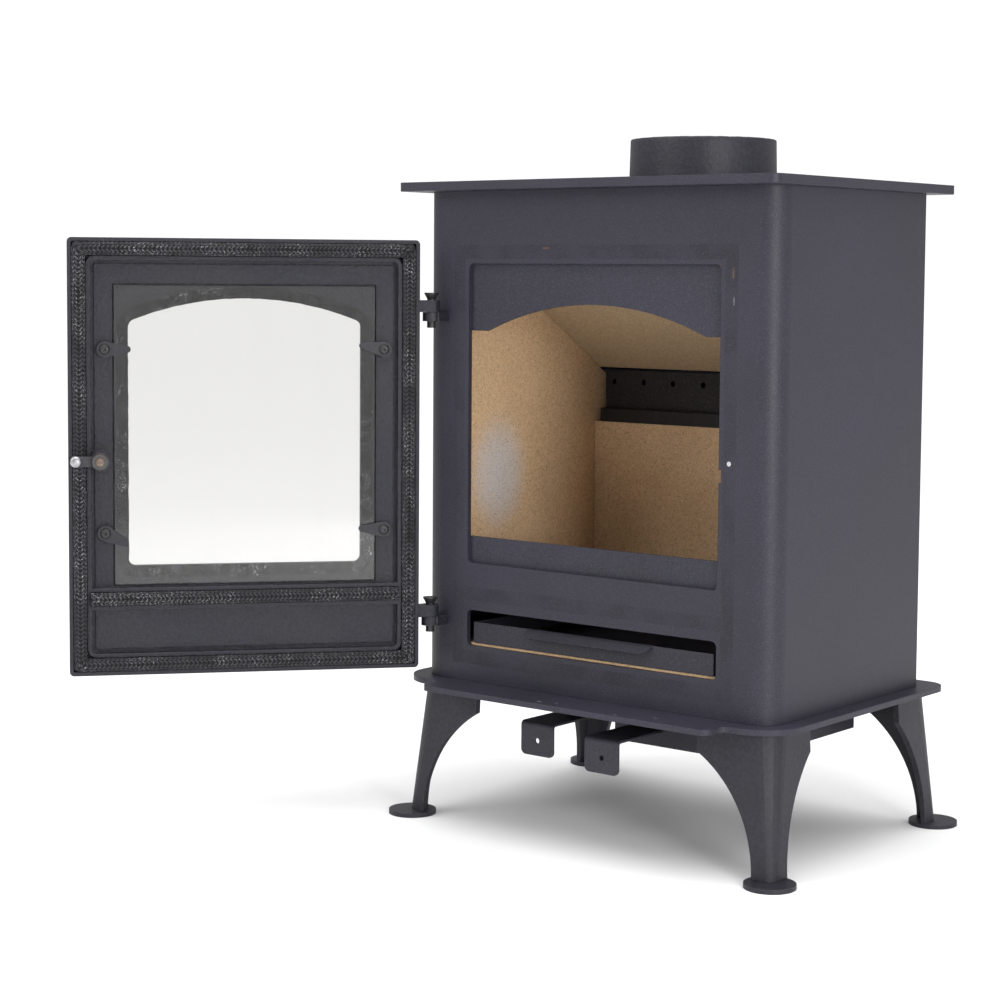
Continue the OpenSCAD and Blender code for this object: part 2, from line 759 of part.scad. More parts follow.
// Flat strap with its front end bent down to a tab that carries a knob hole
module slider(tab_y, length) {
    bend = 4;
    difference() {
        crosswise(strap_w) {
            translate([tab_y + bend, strap_z - strap_t]) square([length - bend, strap_t]);
            translate([tab_y, strap_z - tab_h]) square([strap_t, tab_h - bend]);
            intersection() {
                translate([tab_y + bend, strap_z - bend]) difference() {
                    circle(bend);
                    circle(bend - strap_t);
                }
                translate([tab_y, strap_z - bend]) square(bend);
            }
        }
        upright(tab_y - 1, strap_t + 2) for (s = [-1, 1]) translate([s * (strap_w / 2 - 5), strap_z - tab_h + 5])
            difference() {
                translate([s > 0 ? 0 : -6, -6]) square(6);
                circle(5);
            }
        translate([0, tab_y - 1, strap_z - 16.5]) rotate([-90, 0, 0])
            cylinder(strap_t + 2, knob_hole / 2, knob_hole / 2);
    }
}
module air_slider_left() {
    color("#3f3e44") translate([left_strap_x, 0, 0])
        slider(left_tab_y, throat_y0 + slider_in - left_tab_y - 10);
}
module air_slider_right() {
    color("#3f3e44") translate([right_strap_x, 0, 0])
        slider(right_tab_y, duct_y0 + slider_in - right_tab_y - 10);
}

// ---------- hinges ----------
module hinge_lugs() {
    color("#3b3a40") for (z = [upper_lug_z, lower_lug_z]) difference() {
        translate([hinge_x, hinge_y, z - lug_body_h]) {
            cylinder(lug_body_h, lug_r, lug_r);
            translate([-lug_r, 0, 0]) cube([lug_r + lug_inner, hinge_out + corner_r, lug_body_h]);
        }
        translate([0, 0, z - lug_body_h - 1]) linear_extrude(lug_body_h + 2) body_outline(0);
        translate([hinge_x, hinge_y, z - lug_body_h - 1])
            cylinder(lug_body_h + 2, pin_r + screw_fit, pin_r + screw_fit);
    }
}
module hinge_pins() {
    head_z = lug_door_h + gap + 1;
    color("#4a494f") for (z = [upper_lug_z, lower_lug_z]) translate([hinge_x, hinge_y, z]) difference() {
        union() {
            translate([0, 0, -lug_body_h - 6]) cylinder(head_z + lug_body_h + 6, pin_r, pin_r);
            translate([0, 0, head_z]) cylinder(pin_head_h, pin_r, pin_head_r);
            translate([0, 0, head_z + pin_head_h]) cylinder(1, pin_head_r, pin_head_r);
        }
        translate([0, 0, -lug_body_h - 3]) rotate([90, 0, 0]) cylinder(20, 1, 1, center = true);
    }
}

// ---------- door ----------
// Frame between an outer rectangle inset from the door's edge and a smaller one
module door_ring(inset, width, r) {
    translate([door_mid, door_z0 + door_h / 2]) difference() {
        rounded(door_w - 2 * inset, door_h - 2 * inset, r);
        rounded(door_w - 2 * inset - 2 * width, door_h - 2 * inset - 2 * width, max(r - width, 0.5));
    }
}
module glass_outline(grow) {
    translate([door_mid - window_w / 2 - glass_side - grow, window_z - glass_low - grow])
        square([window_w + 2 * (glass_side + grow), window_h + glass_low + glass_high + 2 * grow]);
}
module door_casting() {
    inner = door_lip + rope_w + rib_w;
    cross_half = rope_w / 2 + rib_w;
    color("#3b3a44") place_door() difference() {
        union() {
            // face plate
            upright(outer_y, panel_y - outer_y) translate([door_mid, door_z0 + door_h / 2])
                rounded(door_w, door_h, 4);
            // lip, channel wall and the walls of the cross channel
            upright(outer_y, lip_y - outer_y) door_ring(0, door_lip, 4);
            upright(outer_y, rib_y - outer_y) door_ring(door_lip + rope_w, rib_w, 8);
            for (z = [cross_z - cross_half, cross_z + rope_w / 2])
                upright(outer_y, rib_y - outer_y) translate([hinge_side + inner - 1, z])
                    square([door_w - 2 * inner + 2, rib_w]);
            // raised border, window trim and ash panel trim on the outside
            upright(outer_y - 2, 3) door_ring(0, trim_w, 4);
            upright(outer_y - 3, 4) translate([door_mid, 0]) difference() {
                window_outline(trim_w);
                window_outline(0);
            }
            upright(outer_y - 2, 3) translate([hinge_side + ash_trim_in, door_z0 + ash_trim_in]) difference() {
                square([door_w - 2 * ash_trim_in, ash_trim_h]);
                translate([ash_trim_w, ash_trim_w])
                    square([door_w - 2 * (ash_trim_in + ash_trim_w), ash_trim_h - 2 * ash_trim_w]);
            }
            // bosses for clips and spindle
            for (p = clip_places) translate([door_mid + p.x, 0, p.y]) rotate([-90, 0, 0])
                cylinder(glass_front, clip_boss_r, clip_boss_r);
            translate([latch_x, 0, latch_z]) rotate([-90, 0, 0]) cylinder(panel_y + 6, boss_r, boss_r);
            // hinge lugs
            for (z = [upper_lug_z, lower_lug_z]) translate([0, 0, z + gap]) {
                cylinder(lug_door_h - gap, lug_r, lug_r);
                translate([0, outer_y, 0]) cube([hinge_side + 1, lug_r - outer_y, lug_door_h - gap]);
            }
        }
        // rope channels
        upright(channel_y, 20) door_ring(door_lip, rope_w, rope_corner);
        upright(channel_y, 20) translate([hinge_side + inner - 1, cross_z - rope_w / 2])
            square([door_w - 2 * inner + 2, rope_w]);
        // shallow groove inside the channel wall
        upright(panel_y - 1.5, 20) difference() {
            door_ring(inner, groove_w, 6);
            translate([hinge_side, cross_z - cross_half - 0.01]) square([door_w, 2 * cross_half + 0.02]);
            translate([latch_x, latch_z]) circle(boss_r + 1);
        }
        // window and the glass rebate
        upright(outer_y - 10, 40) translate([door_mid, 0]) window_outline(0);
        difference() {
            upright(rebate_y, 20) glass_outline(glass_play);
            for (p = clip_places) translate([door_mid + p.x, 0, p.y]) rotate([-90, 0, 0])
                cylinder(60, clip_boss_r, clip_boss_r);
        }
        // holes
        for (p = clip_places) translate([door_mid + p.x, glass_front - 8, p.y]) rotate([-90, 0, 0])
            cylinder(20, clip_screw_r + screw_fit, clip_screw_r + screw_fit);
        translate([latch_x, outer_y - 10, latch_z]) rotate([-90, 0, 0])
            cylinder(60, spindle_r + run_fit, spindle_r + run_fit);
        for (z = [upper_lug_z, lower_lug_z]) translate([0, 0, z - 1])
            cylinder(lug_door_h + 2, pin_r + run_fit, pin_r + run_fit);
    }
}
module door_rope() {
    play = 0.25;
    color("#2b2b30") place_door() upright(channel_y, hinge_out - gap - channel_y)
        door_ring(door_lip + play, rope_w - 2 * play, rope_corner);
}
module cross_rope() {
    play = 0.25;
    inner = door_lip + rope_w + rib_w;
    color("#2b2b30") place_door() upright(channel_y, hinge_out - gap - channel_y)
        translate([hinge_side + inner - 1 + play, cross_z - rope_w / 2 + play])
            square([door_w - 2 * inner + 2 - 2 * play, rope_w - 2 * play]);
}
module window_glass() {
    color("#dfe6e4", 0.35) place_door() upright(glass_y, glass_t) glass_outline(0);
}
module glass_gasket() {
    color("#232326") place_door() upright(rebate_y, tape_t) difference() {
        intersection() {
            translate([door_mid, 0]) window_outline(tape_w);
            glass_outline(0);
        }
        translate([door_mid, 0]) window_outline(0);
    }
}
module glass_clips() {
    color("#37363d") place_door() for (p = clip_places)
        upright(glass_front, clip_t) translate([door_mid + p.x, p.y]) difference() {
            rotate(p.z) hull() {
                circle(7, $fn = 32);
                translate([clip_len, 0]) circle(3, $fn = 32);
            }
            circle(clip_screw_r + screw_fit);
        }
}
module clip_screws() {
    color("#55545a") place_door() for (p = clip_places)
        translate([door_mid + p.x, glass_front + clip_t, p.y]) rotate([-90, 0, 0]) {
            translate([0, 0, -9]) cylinder(9, clip_screw_r, clip_screw_r);
            difference() {
                cylinder(3, 4.6, 3.8);
                translate([0, 0, 1]) cylinder(3, 1.6, 1.6, $fn = 6);
            }
        }
}

// ---------- latch and handle ----------
module place_latch() {
    place_door() translate([latch_x, 0, latch_z]) rotate([-90, 0, 0]) children();
}
module latch_spindle() {
    color("#6d625c") place_latch() {
        translate([0, 0, outer_y - lever_out - 8]) cylinder(arm_y - outer_y + lever_out + 8, spindle_r, spindle_r);
        translate([0, 0, arm_y]) cylinder(arm_t + 6, stem_r, stem_r);
        translate([0, 0, panel_y + 6 + gap]) cylinder(arm_y - panel_y - 6 - gap, 7, 7);
    }
}
module latch_arm() {
    color("#4a4950") place_latch() translate([0, 0, arm_y]) linear_extrude(arm_t) difference() {
        union() {
            circle(8);
            translate([0, -arm_w / 2]) square([latch_len, arm_w]);
            translate([latch_len, 0]) circle(stud_r);
        }
        circle(stem_r + screw_fit);
        translate([latch_len, 0]) circle(2.5 + screw_fit);
    }
}
module latch_stud() {
    color("#c9cbd0") place_latch() translate([latch_len, 0, arm_y]) {
        translate([0, 0, -3]) cylinder(3, stud_r, stud_r);
        cylinder(arm_t, 2.5, 2.5);
        translate([0, 0, arm_t]) cylinder(2.5, stud_r, 3.6);
    }
}
module latch_nut() {
    color("#4f4b49") place_latch() translate([0, 0, arm_y + arm_t]) difference() {
        cylinder(4.5, 8, 8, $fn = 6);
        translate([0, 0, -1]) cylinder(8, stem_r + screw_fit, stem_r + screw_fit);
    }
}
// Lever outside the door: it hangs down when the latch is home
module door_handle() {
    lever_y = outer_y - lever_out;
    color("#3b3a40") place_latch() difference() {
        union() {
            translate([0, 0, lever_y - 6]) cylinder(14, 9, 9);
            translate([-5, 0, lever_y - 4]) cube([10, lever_len - lever_stub, 8]);
            translate([0, lever_len - lever_stub, lever_y]) rotate([-90, 0, 0]) cylinder(lever_stub, stem_r, stem_r);
        }
        translate([0, 0, lever_y - 30]) cylinder(60, spindle_r + screw_fit, spindle_r + screw_fit);
    }
}
module handle_grip() {
    color("#26262a") place_latch() translate([0, lever_len - 36, outer_y - lever_out]) rotate([-90, 0, 0])
        difference() {
            union() {
                cylinder(44, 7, 9);
                translate([0, 0, 44]) sphere(9);
            }
            translate([0, 0, -1]) cylinder(38, stem_r + screw_fit, stem_r + screw_fit);
        }
}
module handle_rose() {
    color("#3b3a40") place_latch() translate([0, 0, outer_y - 3]) difference() {
        cylinder(3, 13, 15);
        translate([0, 0, -1]) cylinder(5, spindle_r + run_fit, spindle_r + run_fit);
    }
}

body_shell();
back_panel();
floor_panel();
top_plate();
flue_collar();
base_plate();
leg_at(-1, -1) leg();  // leg_front_left
leg_at(1, -1) leg();  // leg_front_right
leg_at(-1, 1) leg();  // leg_rear_left
leg_at(1, 1) leg();  // leg_rear_right
foot_discs();
leg_bolts();
heat_shield();
shield_spacers();
shield_screws();
throat_plate();
log_guard();
catch_plate();
side_brick_left();
side_brick_right();
back_brick();
baffle_board();
rear_air_box();
deck_supports();
grate_deck();
fire_grate();
ash_floor_board();
pan_rails();
ash_pan();
air_duct();
primary_throat();
air_slider_left();
air_slider_right();
base_bolts();
hinge_lugs();
hinge_pins();
door_casting();
door_rope();
cross_rope();
window_glass();
glass_gasket();
glass_clips();
clip_screws();
latch_spindle();
latch_arm();
latch_stud();
latch_nut();
door_handle();
handle_grip();
handle_rose();
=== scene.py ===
"""Free-standing wood burning stove with its door open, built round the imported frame.

Metres. +Z is up, the door side faces -Y and the origin is on the hearth under the body.
"""

import json
import logging
import math
from dataclasses import dataclass, field
from enum import Enum
from typing import Callable, Iterable, Sequence

import bmesh
import bpy
from mathutils import Matrix, Vector, noise

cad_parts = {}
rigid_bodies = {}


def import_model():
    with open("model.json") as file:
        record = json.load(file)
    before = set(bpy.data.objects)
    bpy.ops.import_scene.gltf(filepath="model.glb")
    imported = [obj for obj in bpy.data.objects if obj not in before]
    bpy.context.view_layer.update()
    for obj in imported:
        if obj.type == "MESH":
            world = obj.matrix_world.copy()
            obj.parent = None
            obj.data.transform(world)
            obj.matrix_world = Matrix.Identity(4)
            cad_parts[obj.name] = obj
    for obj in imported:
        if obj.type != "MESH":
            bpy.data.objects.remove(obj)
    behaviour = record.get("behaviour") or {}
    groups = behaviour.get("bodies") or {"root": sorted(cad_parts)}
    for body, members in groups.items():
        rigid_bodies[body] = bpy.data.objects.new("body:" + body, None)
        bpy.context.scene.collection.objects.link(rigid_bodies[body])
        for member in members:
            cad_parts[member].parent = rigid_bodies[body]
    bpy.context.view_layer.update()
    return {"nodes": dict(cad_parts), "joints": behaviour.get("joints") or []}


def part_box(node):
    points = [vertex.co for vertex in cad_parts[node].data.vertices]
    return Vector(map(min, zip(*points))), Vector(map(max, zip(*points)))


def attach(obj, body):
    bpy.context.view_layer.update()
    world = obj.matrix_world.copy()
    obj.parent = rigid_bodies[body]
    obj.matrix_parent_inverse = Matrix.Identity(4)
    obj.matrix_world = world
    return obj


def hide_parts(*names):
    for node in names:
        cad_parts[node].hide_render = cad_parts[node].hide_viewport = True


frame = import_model()

MM = 0.001
LIFT = "lift"          # per-point height of a braid or fold, 0..1
LOG = logging.getLogger("stove")
Socket = bpy.types.NodeSocket
Value = float | Socket
Colour = tuple[float, float, float]
Mesh = bmesh.types.BMesh
Wobble = Callable[[float, float, float], float]
SHARP = math.radians(38.0)     # a steeper edge than this is shaded as a corner
ON_EDGE, OFF_EDGE = 0.86, 0.995    # cosines between the true and the rounded normal


class Body(Enum):
    """The bodies that pieces ride on."""

    STOVE = "stove"
    DOOR = "door"
    LATCH = "latch"


class Shape(Enum):
    """Outline of one level of a turned piece."""

    ROUND = "round"
    HEX = "hex"


# ---------- materials ----------
def shade(colour: Colour, share: float) -> Colour:
    """Give a colour made darker or lighter, at most white."""
    return tuple(min(1.0, c * share) for c in colour)


class Graph:
    """A material's node tree, with short ways to add and join nodes."""

    def __init__(self, name: str) -> None:
        """Start a material that holds one shader.

        Args:
            name: Name of the material.
        """
        self.material = bpy.data.materials.new(name)
        self.material.use_nodes = True
        self.tree = self.material.node_tree
        self.tree.nodes.clear()
        output = self.tree.nodes.new("ShaderNodeOutputMaterial")
        self.shader = self.tree.nodes.new("ShaderNodeBsdfPrincipled")
        self.tree.links.new(self.shader.outputs["BSDF"], output.inputs["Surface"])
        self.place = self.tree.nodes.new("ShaderNodeTexCoord").outputs["Object"]

    def put(self, socket: Socket, value: object) -> None:
        """Join a socket to a value: a link if the value is a socket, a constant otherwise.

        Args:
            socket: Input to fill.
            value: Output socket, number or colour.
        """
        if isinstance(value, bpy.types.NodeSocket):
            self.tree.links.new(value, socket)
        elif isinstance(value, tuple) and len(value) == 3 and socket.type == "RGBA":
            socket.default_value = (*value, 1.0)
        else:
            socket.default_value = value

    def set(self, **values: object) -> None:
        """Fill the shader's inputs.

        Args:
            **values: Input names in lower case, with underscores for spaces.
        """
        for key, value in values.items():
            socket = next(s for s in self.shader.inputs if s.name.lower().replace(" ", "_") == key)
            self.put(socket, value)

    def math(self, operation: str, a: Value, b: Value = 0.0, clamp: bool = False) -> Socket:
        """Add a math node.

        Args:
            operation: Blender's name of the operation.
            a: First operand.
            b: Second operand.
            clamp: Limit the result to 0..1.

        Returns:
            The result.
        """
        node = self.tree.nodes.new("ShaderNodeMath")
        node.operation, node.use_clamp = operation, clamp
        self.put(node.inputs[0], a)
        self.put(node.inputs[1], b)
        return node.outputs[0]

    def times(self, a: Value, b: Value) -> Socket:
        """Multiply two values."""
        return self.math("MULTIPLY", a, b)

    def plus(self, a: Value, b: Value, clamp: bool = False) -> Socket:
        """Add two values."""
        return self.math("ADD", a, b, clamp)

    def minus(self, a: Value, b: Value) -> Socket:
        """Take the second value from the first."""
        return self.math("SUBTRACT", a, b)

    def noise(self, scale: float, detail: float = 4.0, rough: float = 0.55,
              at: Socket | None = None) -> Socket:
        """Add a noise texture.

        Args:
            scale: Cells per metre.
            detail: Number of octaves.
            rough: Share of the finer octaves.
            at: Coordinates, or the object's own.

        Returns:
            The noise's value.
        """
        node = self.tree.nodes.new("ShaderNodeTexNoise")
        self.put(node.inputs["Vector"], at or self.place)
        self.put(node.inputs["Scale"], scale)
        self.put(node.inputs["Detail"], detail)
        self.put(node.inputs["Roughness"], rough)
        return node.outputs["Fac"]

    def cells(self, scale: float, colour: bool = False) -> Socket:
        """Add a cell texture.

        Args:
            scale: Cells per metre.
            colour: Give each cell's own random value instead of the distance.

        Returns:
            The cell's value or distance.
        """
        node = self.tree.nodes.new("ShaderNodeTexVoronoi")
        self.put(node.inputs["Vector"], self.place)
        self.put(node.inputs["Scale"], scale)
        if not colour:
            return node.outputs["Distance"]
        split = self.tree.nodes.new("ShaderNodeSeparateColor")
        self.put(split.inputs[0], node.outputs["Color"])
        return split.outputs[0]

    def stretched(self, scale: tuple[float, float, float]) -> Socket:
        """Scale the object's coordinates, for brushed or streaky textures.

        Args:
            scale: Scale along each axis.

        Returns:
            The scaled coordinates.
        """
        node = self.tree.nodes.new("ShaderNodeMapping")
        self.put(node.inputs["Vector"], self.place)
        node.inputs["Scale"].default_value = scale
        return node.outputs[0]

    def axes(self) -> tuple[Socket, Socket, Socket]:
        """Give the object's X, Y and Z coordinates."""
        node = self.tree.nodes.new("ShaderNodeSeparateXYZ")
        self.put(node.inputs[0], self.place)
        return node.outputs[0], node.outputs[1], node.outputs[2]

    def spread(self, value: Value, low: float, high: float, to_low: float = 0.0,
               to_high: float = 1.0) -> Socket:
        """Map a range of values smoothly to another.

        Args:
            value: Value to map.
            low: Start of the range.
            high: End of the range.
            to_low: Result at the start.
            to_high: Result at the end.

        Returns:
            The mapped value.
        """
        node = self.tree.nodes.new("ShaderNodeMapRange")
        node.interpolation_type = "SMOOTHSTEP"
        for socket, item in zip(node.inputs, (value, low, high, to_low, to_high)):
            self.put(socket, item)
        return node.outputs[0]

    def mix(self, share: Value, a: object, b: object) -> Socket:
        """Mix two colours.

        Args:
            share: Share of the second colour.
            a: First colour.
            b: Second colour.

        Returns:
            The mixed colour.
        """
        node = self.tree.nodes.new("ShaderNodeMix")
        node.data_type = "RGBA"
        self.put(node.inputs["Factor"], share)
        self.put(next(s for s in node.inputs if s.name == "A" and s.type == "RGBA"), a)
        self.put(next(s for s in node.inputs if s.name == "B" and s.type == "RGBA"), b)
        return next(s for s in node.outputs if s.type == "RGBA")

    def coat(self, base: Socket, mask: Value, share: float, colour: Colour) -> Socket:
        """Lay a colour over another.

        Args:
            base: Colour below.
            mask: Where the coat lies, 0..1.
            share: How much of the base it covers there.
            colour: Colour of the coat.

        Returns:
            The coated colour.
        """
        return self.mix(self.times(mask, share), base, colour)

    def relief(self, height: Value, depth: float, strength: float = 1.0,
               under: Socket | None = None) -> Socket:
        """Add a bump node.

        Args:
            height: Height of the relief, 0..1.
            depth: Depth in metres at height 1.
            strength: Share of the effect.
            under: Normal that the relief lies on.

        Returns:
            The bumped normal.
        """
        node = self.tree.nodes.new("ShaderNodeBump")
        self.put(node.inputs["Height"], height)
        node.inputs["Distance"].default_value = depth
        node.inputs["Strength"].default_value = strength
        if under is not None:
            self.put(node.inputs["Normal"], under)
        return node.outputs[0]

    def eased(self, radius: float) -> Socket:
        """Give a normal that rounds sharp edges.

        Args:
            radius: Radius of the rounding, in metres.

        Returns:
            The rounded normal.
        """
        node = self.tree.nodes.new("ShaderNodeBevel")
        node.samples = 4
        node.inputs["Radius"].default_value = radius
        return node.outputs[0]

    def edges(self, radius: float) -> Socket:
        """Give a mask of the sharp edges.

        Args:
            radius: Width of the edges, in metres.

        Returns:
            1 on a sharp edge and 0 away from it.
        """
        face = self.tree.nodes.new("ShaderNodeNewGeometry")
        node = self.tree.nodes.new("ShaderNodeVectorMath")
        node.operation = "DOT_PRODUCT"
        self.put(node.inputs[0], self.eased(radius))
        self.put(node.inputs[1], face.outputs["Normal"])
        return self.spread(node.outputs["Value"], OFF_EDGE, ON_EDGE)

    def near(self, point: Sequence[float], radius: float, stretch: Sequence[float] = (1, 1, 1),
             solid: float = 0.75, fade: float = 1.05) -> Socket:
        """Give a soft ragged spot round a point.

        Args:
            point: Centre, in metres.
            radius: Radius, in metres.
            stretch: Size of the spot along each axis, as a share of the radius.
            solid: Squared distance, in radii, up to which the spot is full.
            fade: Squared distance at which it ends.

        Returns:
            1 inside the spot and 0 outside.
        """
        total: Value = 0.0
        for axis, centre, share in zip(self.axes(), point, stretch):
            offset = self.math("DIVIDE", self.minus(axis, centre), radius * share)
            total = self.plus(total, self.times(offset, offset))
        ragged = self.plus(total, self.spread(self.noise(900.0), 0.3, 0.7, -0.6, 0.6))
        return self.spread(ragged, fade, solid)


@dataclass(frozen=True)
class Finish:
    """A named finish, of which each kind paints its own nodes."""

    name: str

    def make(self) -> bpy.types.Material:
        """Build the material.

        Returns:
            The finished material.
        """
        g = Graph(self.name)
        self.paint(g)
        return g.material

    def paint(self, g: Graph) -> None:
        """Fill the shader, as each kind of finish does in its own way."""
        raise NotImplementedError


@dataclass(frozen=True)
class SealMark:
    """Band that the door's rope rubs on the front panel."""

    half: float
    low: float
    high: float
    cross: float
    width: float = 12.5 * MM
    face: float = -123.5 * MM
    smudge: Colour = (0.013, 0.0125, 0.017)
    lint: Colour = (0.11, 0.106, 0.12)
    soot: Colour = (0.006, 0.006, 0.008)


@dataclass(frozen=True)
class Scuff:
    """A small rubbed or chipped place, or a soft pale patch."""

    point: tuple[float, float, float]
    radius: float
    stretch: tuple[float, float, float]
    colour: Colour = (0.10, 0.095, 0.10)


@dataclass(frozen=True)
class HeatPaint(Finish):
    """Matt heat-proof spray paint on sheet steel, with a fine orange peel."""

    colour: Colour = (0.0265, 0.0250, 0.0385)
    worn: Colour = (0.12, 0.115, 0.13)
    pale_speck: Colour = (0.105, 0.102, 0.122)
    dark_speck: Colour = (0.005, 0.005, 0.007)
    roughness: float = 0.5
    edge: float = 0.9 * MM
    peel: float = 0.20 * MM
    grain: float = 620.0
    edge_wear_and_highlight: float = 0.30
    seal: SealMark | None = None
    scuffs: tuple[Scuff, ...] = ()

    def paint(self, g: Graph) -> None:
        """Fill the shader.

        Args:
            g: The material's node tree.
        """
        cloud = g.spread(g.noise(7.0, 3), 0.3, 0.7)
        speck = g.noise(self.grain * 2.2, 2, 0.7)
        dark = shade(self.colour, 0.84)
        light = shade(self.colour, 1.16)
        base = g.mix(cloud, dark, light)
        base = g.coat(base, g.spread(speck, 0.54, 0.72), 0.5, self.pale_speck)
        base = g.coat(base, g.spread(speck, 0.46, 0.3), 0.8, self.dark_speck)
        rough = g.plus(self.roughness - 0.05, g.times(cloud, 0.1))
        streak = g.noise(1.0, 5, 0.6, g.stretched((90.0, 60.0, 9.0)))
        rubbed = g.times(g.spread(streak, 0.62, 0.78), 0.09)
        base = g.mix(rubbed, base, self.worn)
        # Worn paint along sharp edges, partly a painted highlight: the edges are lightened in patches.
        edge = g.times(g.edges(self.edge), g.spread(g.noise(160.0), 0.42, 0.66))
        base = g.coat(base, edge, self.edge_wear_and_highlight, self.worn)
        height = g.plus(g.times(g.noise(self.grain, 2, 0.5), 0.7), g.times(speck, 0.3))
        if self.seal:
            base, rough, height = self._sealed(g, base, rough, height)
        for scuff in self.scuffs:
            base = g.mix(g.near(scuff.point, scuff.radius, scuff.stretch), base, scuff.colour)
        g.set(base_color=base, roughness=rough, specular_ior_level=0.34,
              normal=g.relief(height, self.peel, 0.9, g.eased(self.edge)))

    def _sealed(self, g: Graph, base: Socket, rough: Value, height: Value) -> tuple[Socket, Socket, Socket]:
        """Add the rope's rubbed band to the paint.

        Args:
            g: Node tree.
            base: Colour so far.
            rough: Roughness so far.
            height: Relief so far.

        Returns:
            Colour, roughness and relief with the band.
        """
        mark = self.seal
        x, y, z = g.axes()
        middle, half_h = (mark.high + mark.low) / 2, (mark.high - mark.low) / 2
        across = g.minus(g.math("ABSOLUTE", x), mark.half)
        up = g.minus(g.math("ABSOLUTE", g.minus(z, middle)), half_h)
        wavy = g.spread(g.noise(420.0), 0.3, 0.7, -0.7 * MM, 0.7 * MM)
        reach = g.plus(g.math("MAXIMUM", across, up), wavy)
        ring = g.times(g.spread(reach, 0.6 * MM, -0.6 * MM),
                      g.spread(reach, -mark.width - 0.8 * MM, 0.8 * MM - mark.width))
        bar = g.math("ABSOLUTE", g.minus(z, mark.cross))
        bar = g.times(g.spread(bar, mark.width / 2 + 0.6 * MM, mark.width / 2 - 0.6 * MM),
                     g.spread(across, 0.0, -1.0 * MM))
        band = g.times(g.math("MAXIMUM", ring, bar), g.spread(y, mark.face + MM, mark.face))
        patchy = g.spread(g.noise(24.0, 3), 0.38, 0.62, 0.25, 1.0)
        band = g.times(band, patchy)
        base = g.coat(base, band, 0.35, mark.smudge)
        pits = g.noise(780.0, 3, 0.7)
        light = g.times(band, g.spread(pits, 0.58, 0.68))
        base = g.coat(base, light, 0.28, mark.lint)
        dark = g.times(band, g.spread(pits, 0.44, 0.36))
        base = g.coat(base, dark, 0.5, mark.soot)
        rough = g.plus(rough, g.times(band, 0.16), True)
        height = g.plus(height, g.times(g.times(band, pits), 0.7))
        return base, rough, height


@dataclass(frozen=True)
class CastPaint(Finish):
    """Paint over sand-cast iron, with the sand's coarse grain showing and painted shade in its dips and pits.
    """

    colour: Colour = (0.0175, 0.0172, 0.0275)
    pit_shade: Colour = (0.012, 0.012, 0.014)
    fleck: Colour = (0.17, 0.17, 0.2)
    bare: Colour = (0.14, 0.14, 0.16)
    roughness: float = 0.52
    sand: float = 1.2 * MM
    edge: float = 1.2 * MM
    edge_wear_and_highlight: float = 0.45

    def paint(self, g: Graph) -> None:
        """Fill the shader.

        Args:
            g: The material's node tree.
        """
        cloud = g.spread(g.noise(11.0, 4), 0.3, 0.7)
        sand = g.noise(300.0, 5, 0.6)
        pits = g.spread(g.cells(260.0), 0.16, 0.02)
        base = g.mix(cloud, shade(self.colour, 0.8), shade(self.colour, 1.22))
        # Painted shade: darker where the sand's relief dips, and in the dented pits.
        base = g.mix(g.spread(sand, 0.62, 0.42, 0.0, 0.55), base, shade(self.colour, 0.45))
        base = g.coat(base, pits, 0.5, self.pit_shade)
        fleck = g.spread(g.noise(1700.0, 2, 0.7), 0.66, 0.76)
        base = g.coat(base, fleck, 0.5, self.fleck)
        # Worn paint along sharp edges, partly a painted highlight: the edges are lightened in patches.
        edge = g.times(g.edges(self.edge), g.spread(g.noise(190.0), 0.4, 0.62))
        base = g.coat(base, edge, self.edge_wear_and_highlight, self.bare)
        height = g.minus(sand, g.times(pits, 0.35))
        rough = g.spread(cloud, 0.0, 1.0, self.roughness - 0.06, self.roughness + 0.06)
        g.set(base_color=base, roughness=rough, specular_ior_level=0.42,
              normal=g.relief(height, self.sand, 0.8, g.eased(self.edge)))


@dataclass(frozen=True)
class Vermiculite(Finish):
    """Pressed vermiculite board: tan flakes with dark and pale grains."""

    colour: Colour = (0.68, 0.47, 0.28)
    scorched: Colour = (0.42, 0.26, 0.145)
    dark_grain: Colour = (0.14, 0.08, 0.042)
    pale_grain: Colour = (0.86, 0.76, 0.60)
    scorch: float = 0.22
    pale: tuple[Scuff, ...] = ()

    def paint(self, g: Graph) -> None:
        """Fill the shader.

        Args:
            g: The material's node tree.
        """
        flake = g.cells(620.0, colour=True)
        grain = g.noise(820.0, 3, 0.75)
        base = g.mix(flake, shade(self.colour, 0.86), shade(self.colour, 1.1))
        stain = g.spread(g.noise(12.0, 4), 0.4, 0.72)
        base = g.coat(base, stain, self.scorch, self.scorched)
        for spot in self.pale:
            soft = g.times(g.near(spot.point, spot.radius, spot.stretch, 0.0, 1.35), 0.72)
            base = g.mix(soft, base, spot.colour)
        base = g.coat(base, g.spread(grain, 0.575, 0.66), 0.85, self.dark_grain)
        base = g.coat(base, g.spread(grain, 0.36, 0.28), 0.6, self.pale_grain)
        height = g.plus(g.times(flake, 0.4), g.times(grain, -0.6))
        g.set(base_color=base, roughness=g.spread(flake, 0.0, 1.0, 0.72, 0.92), specular_ior_level=0.25,
              normal=g.relief(height, 0.35 * MM, 0.8, g.eased(1.2 * MM)))


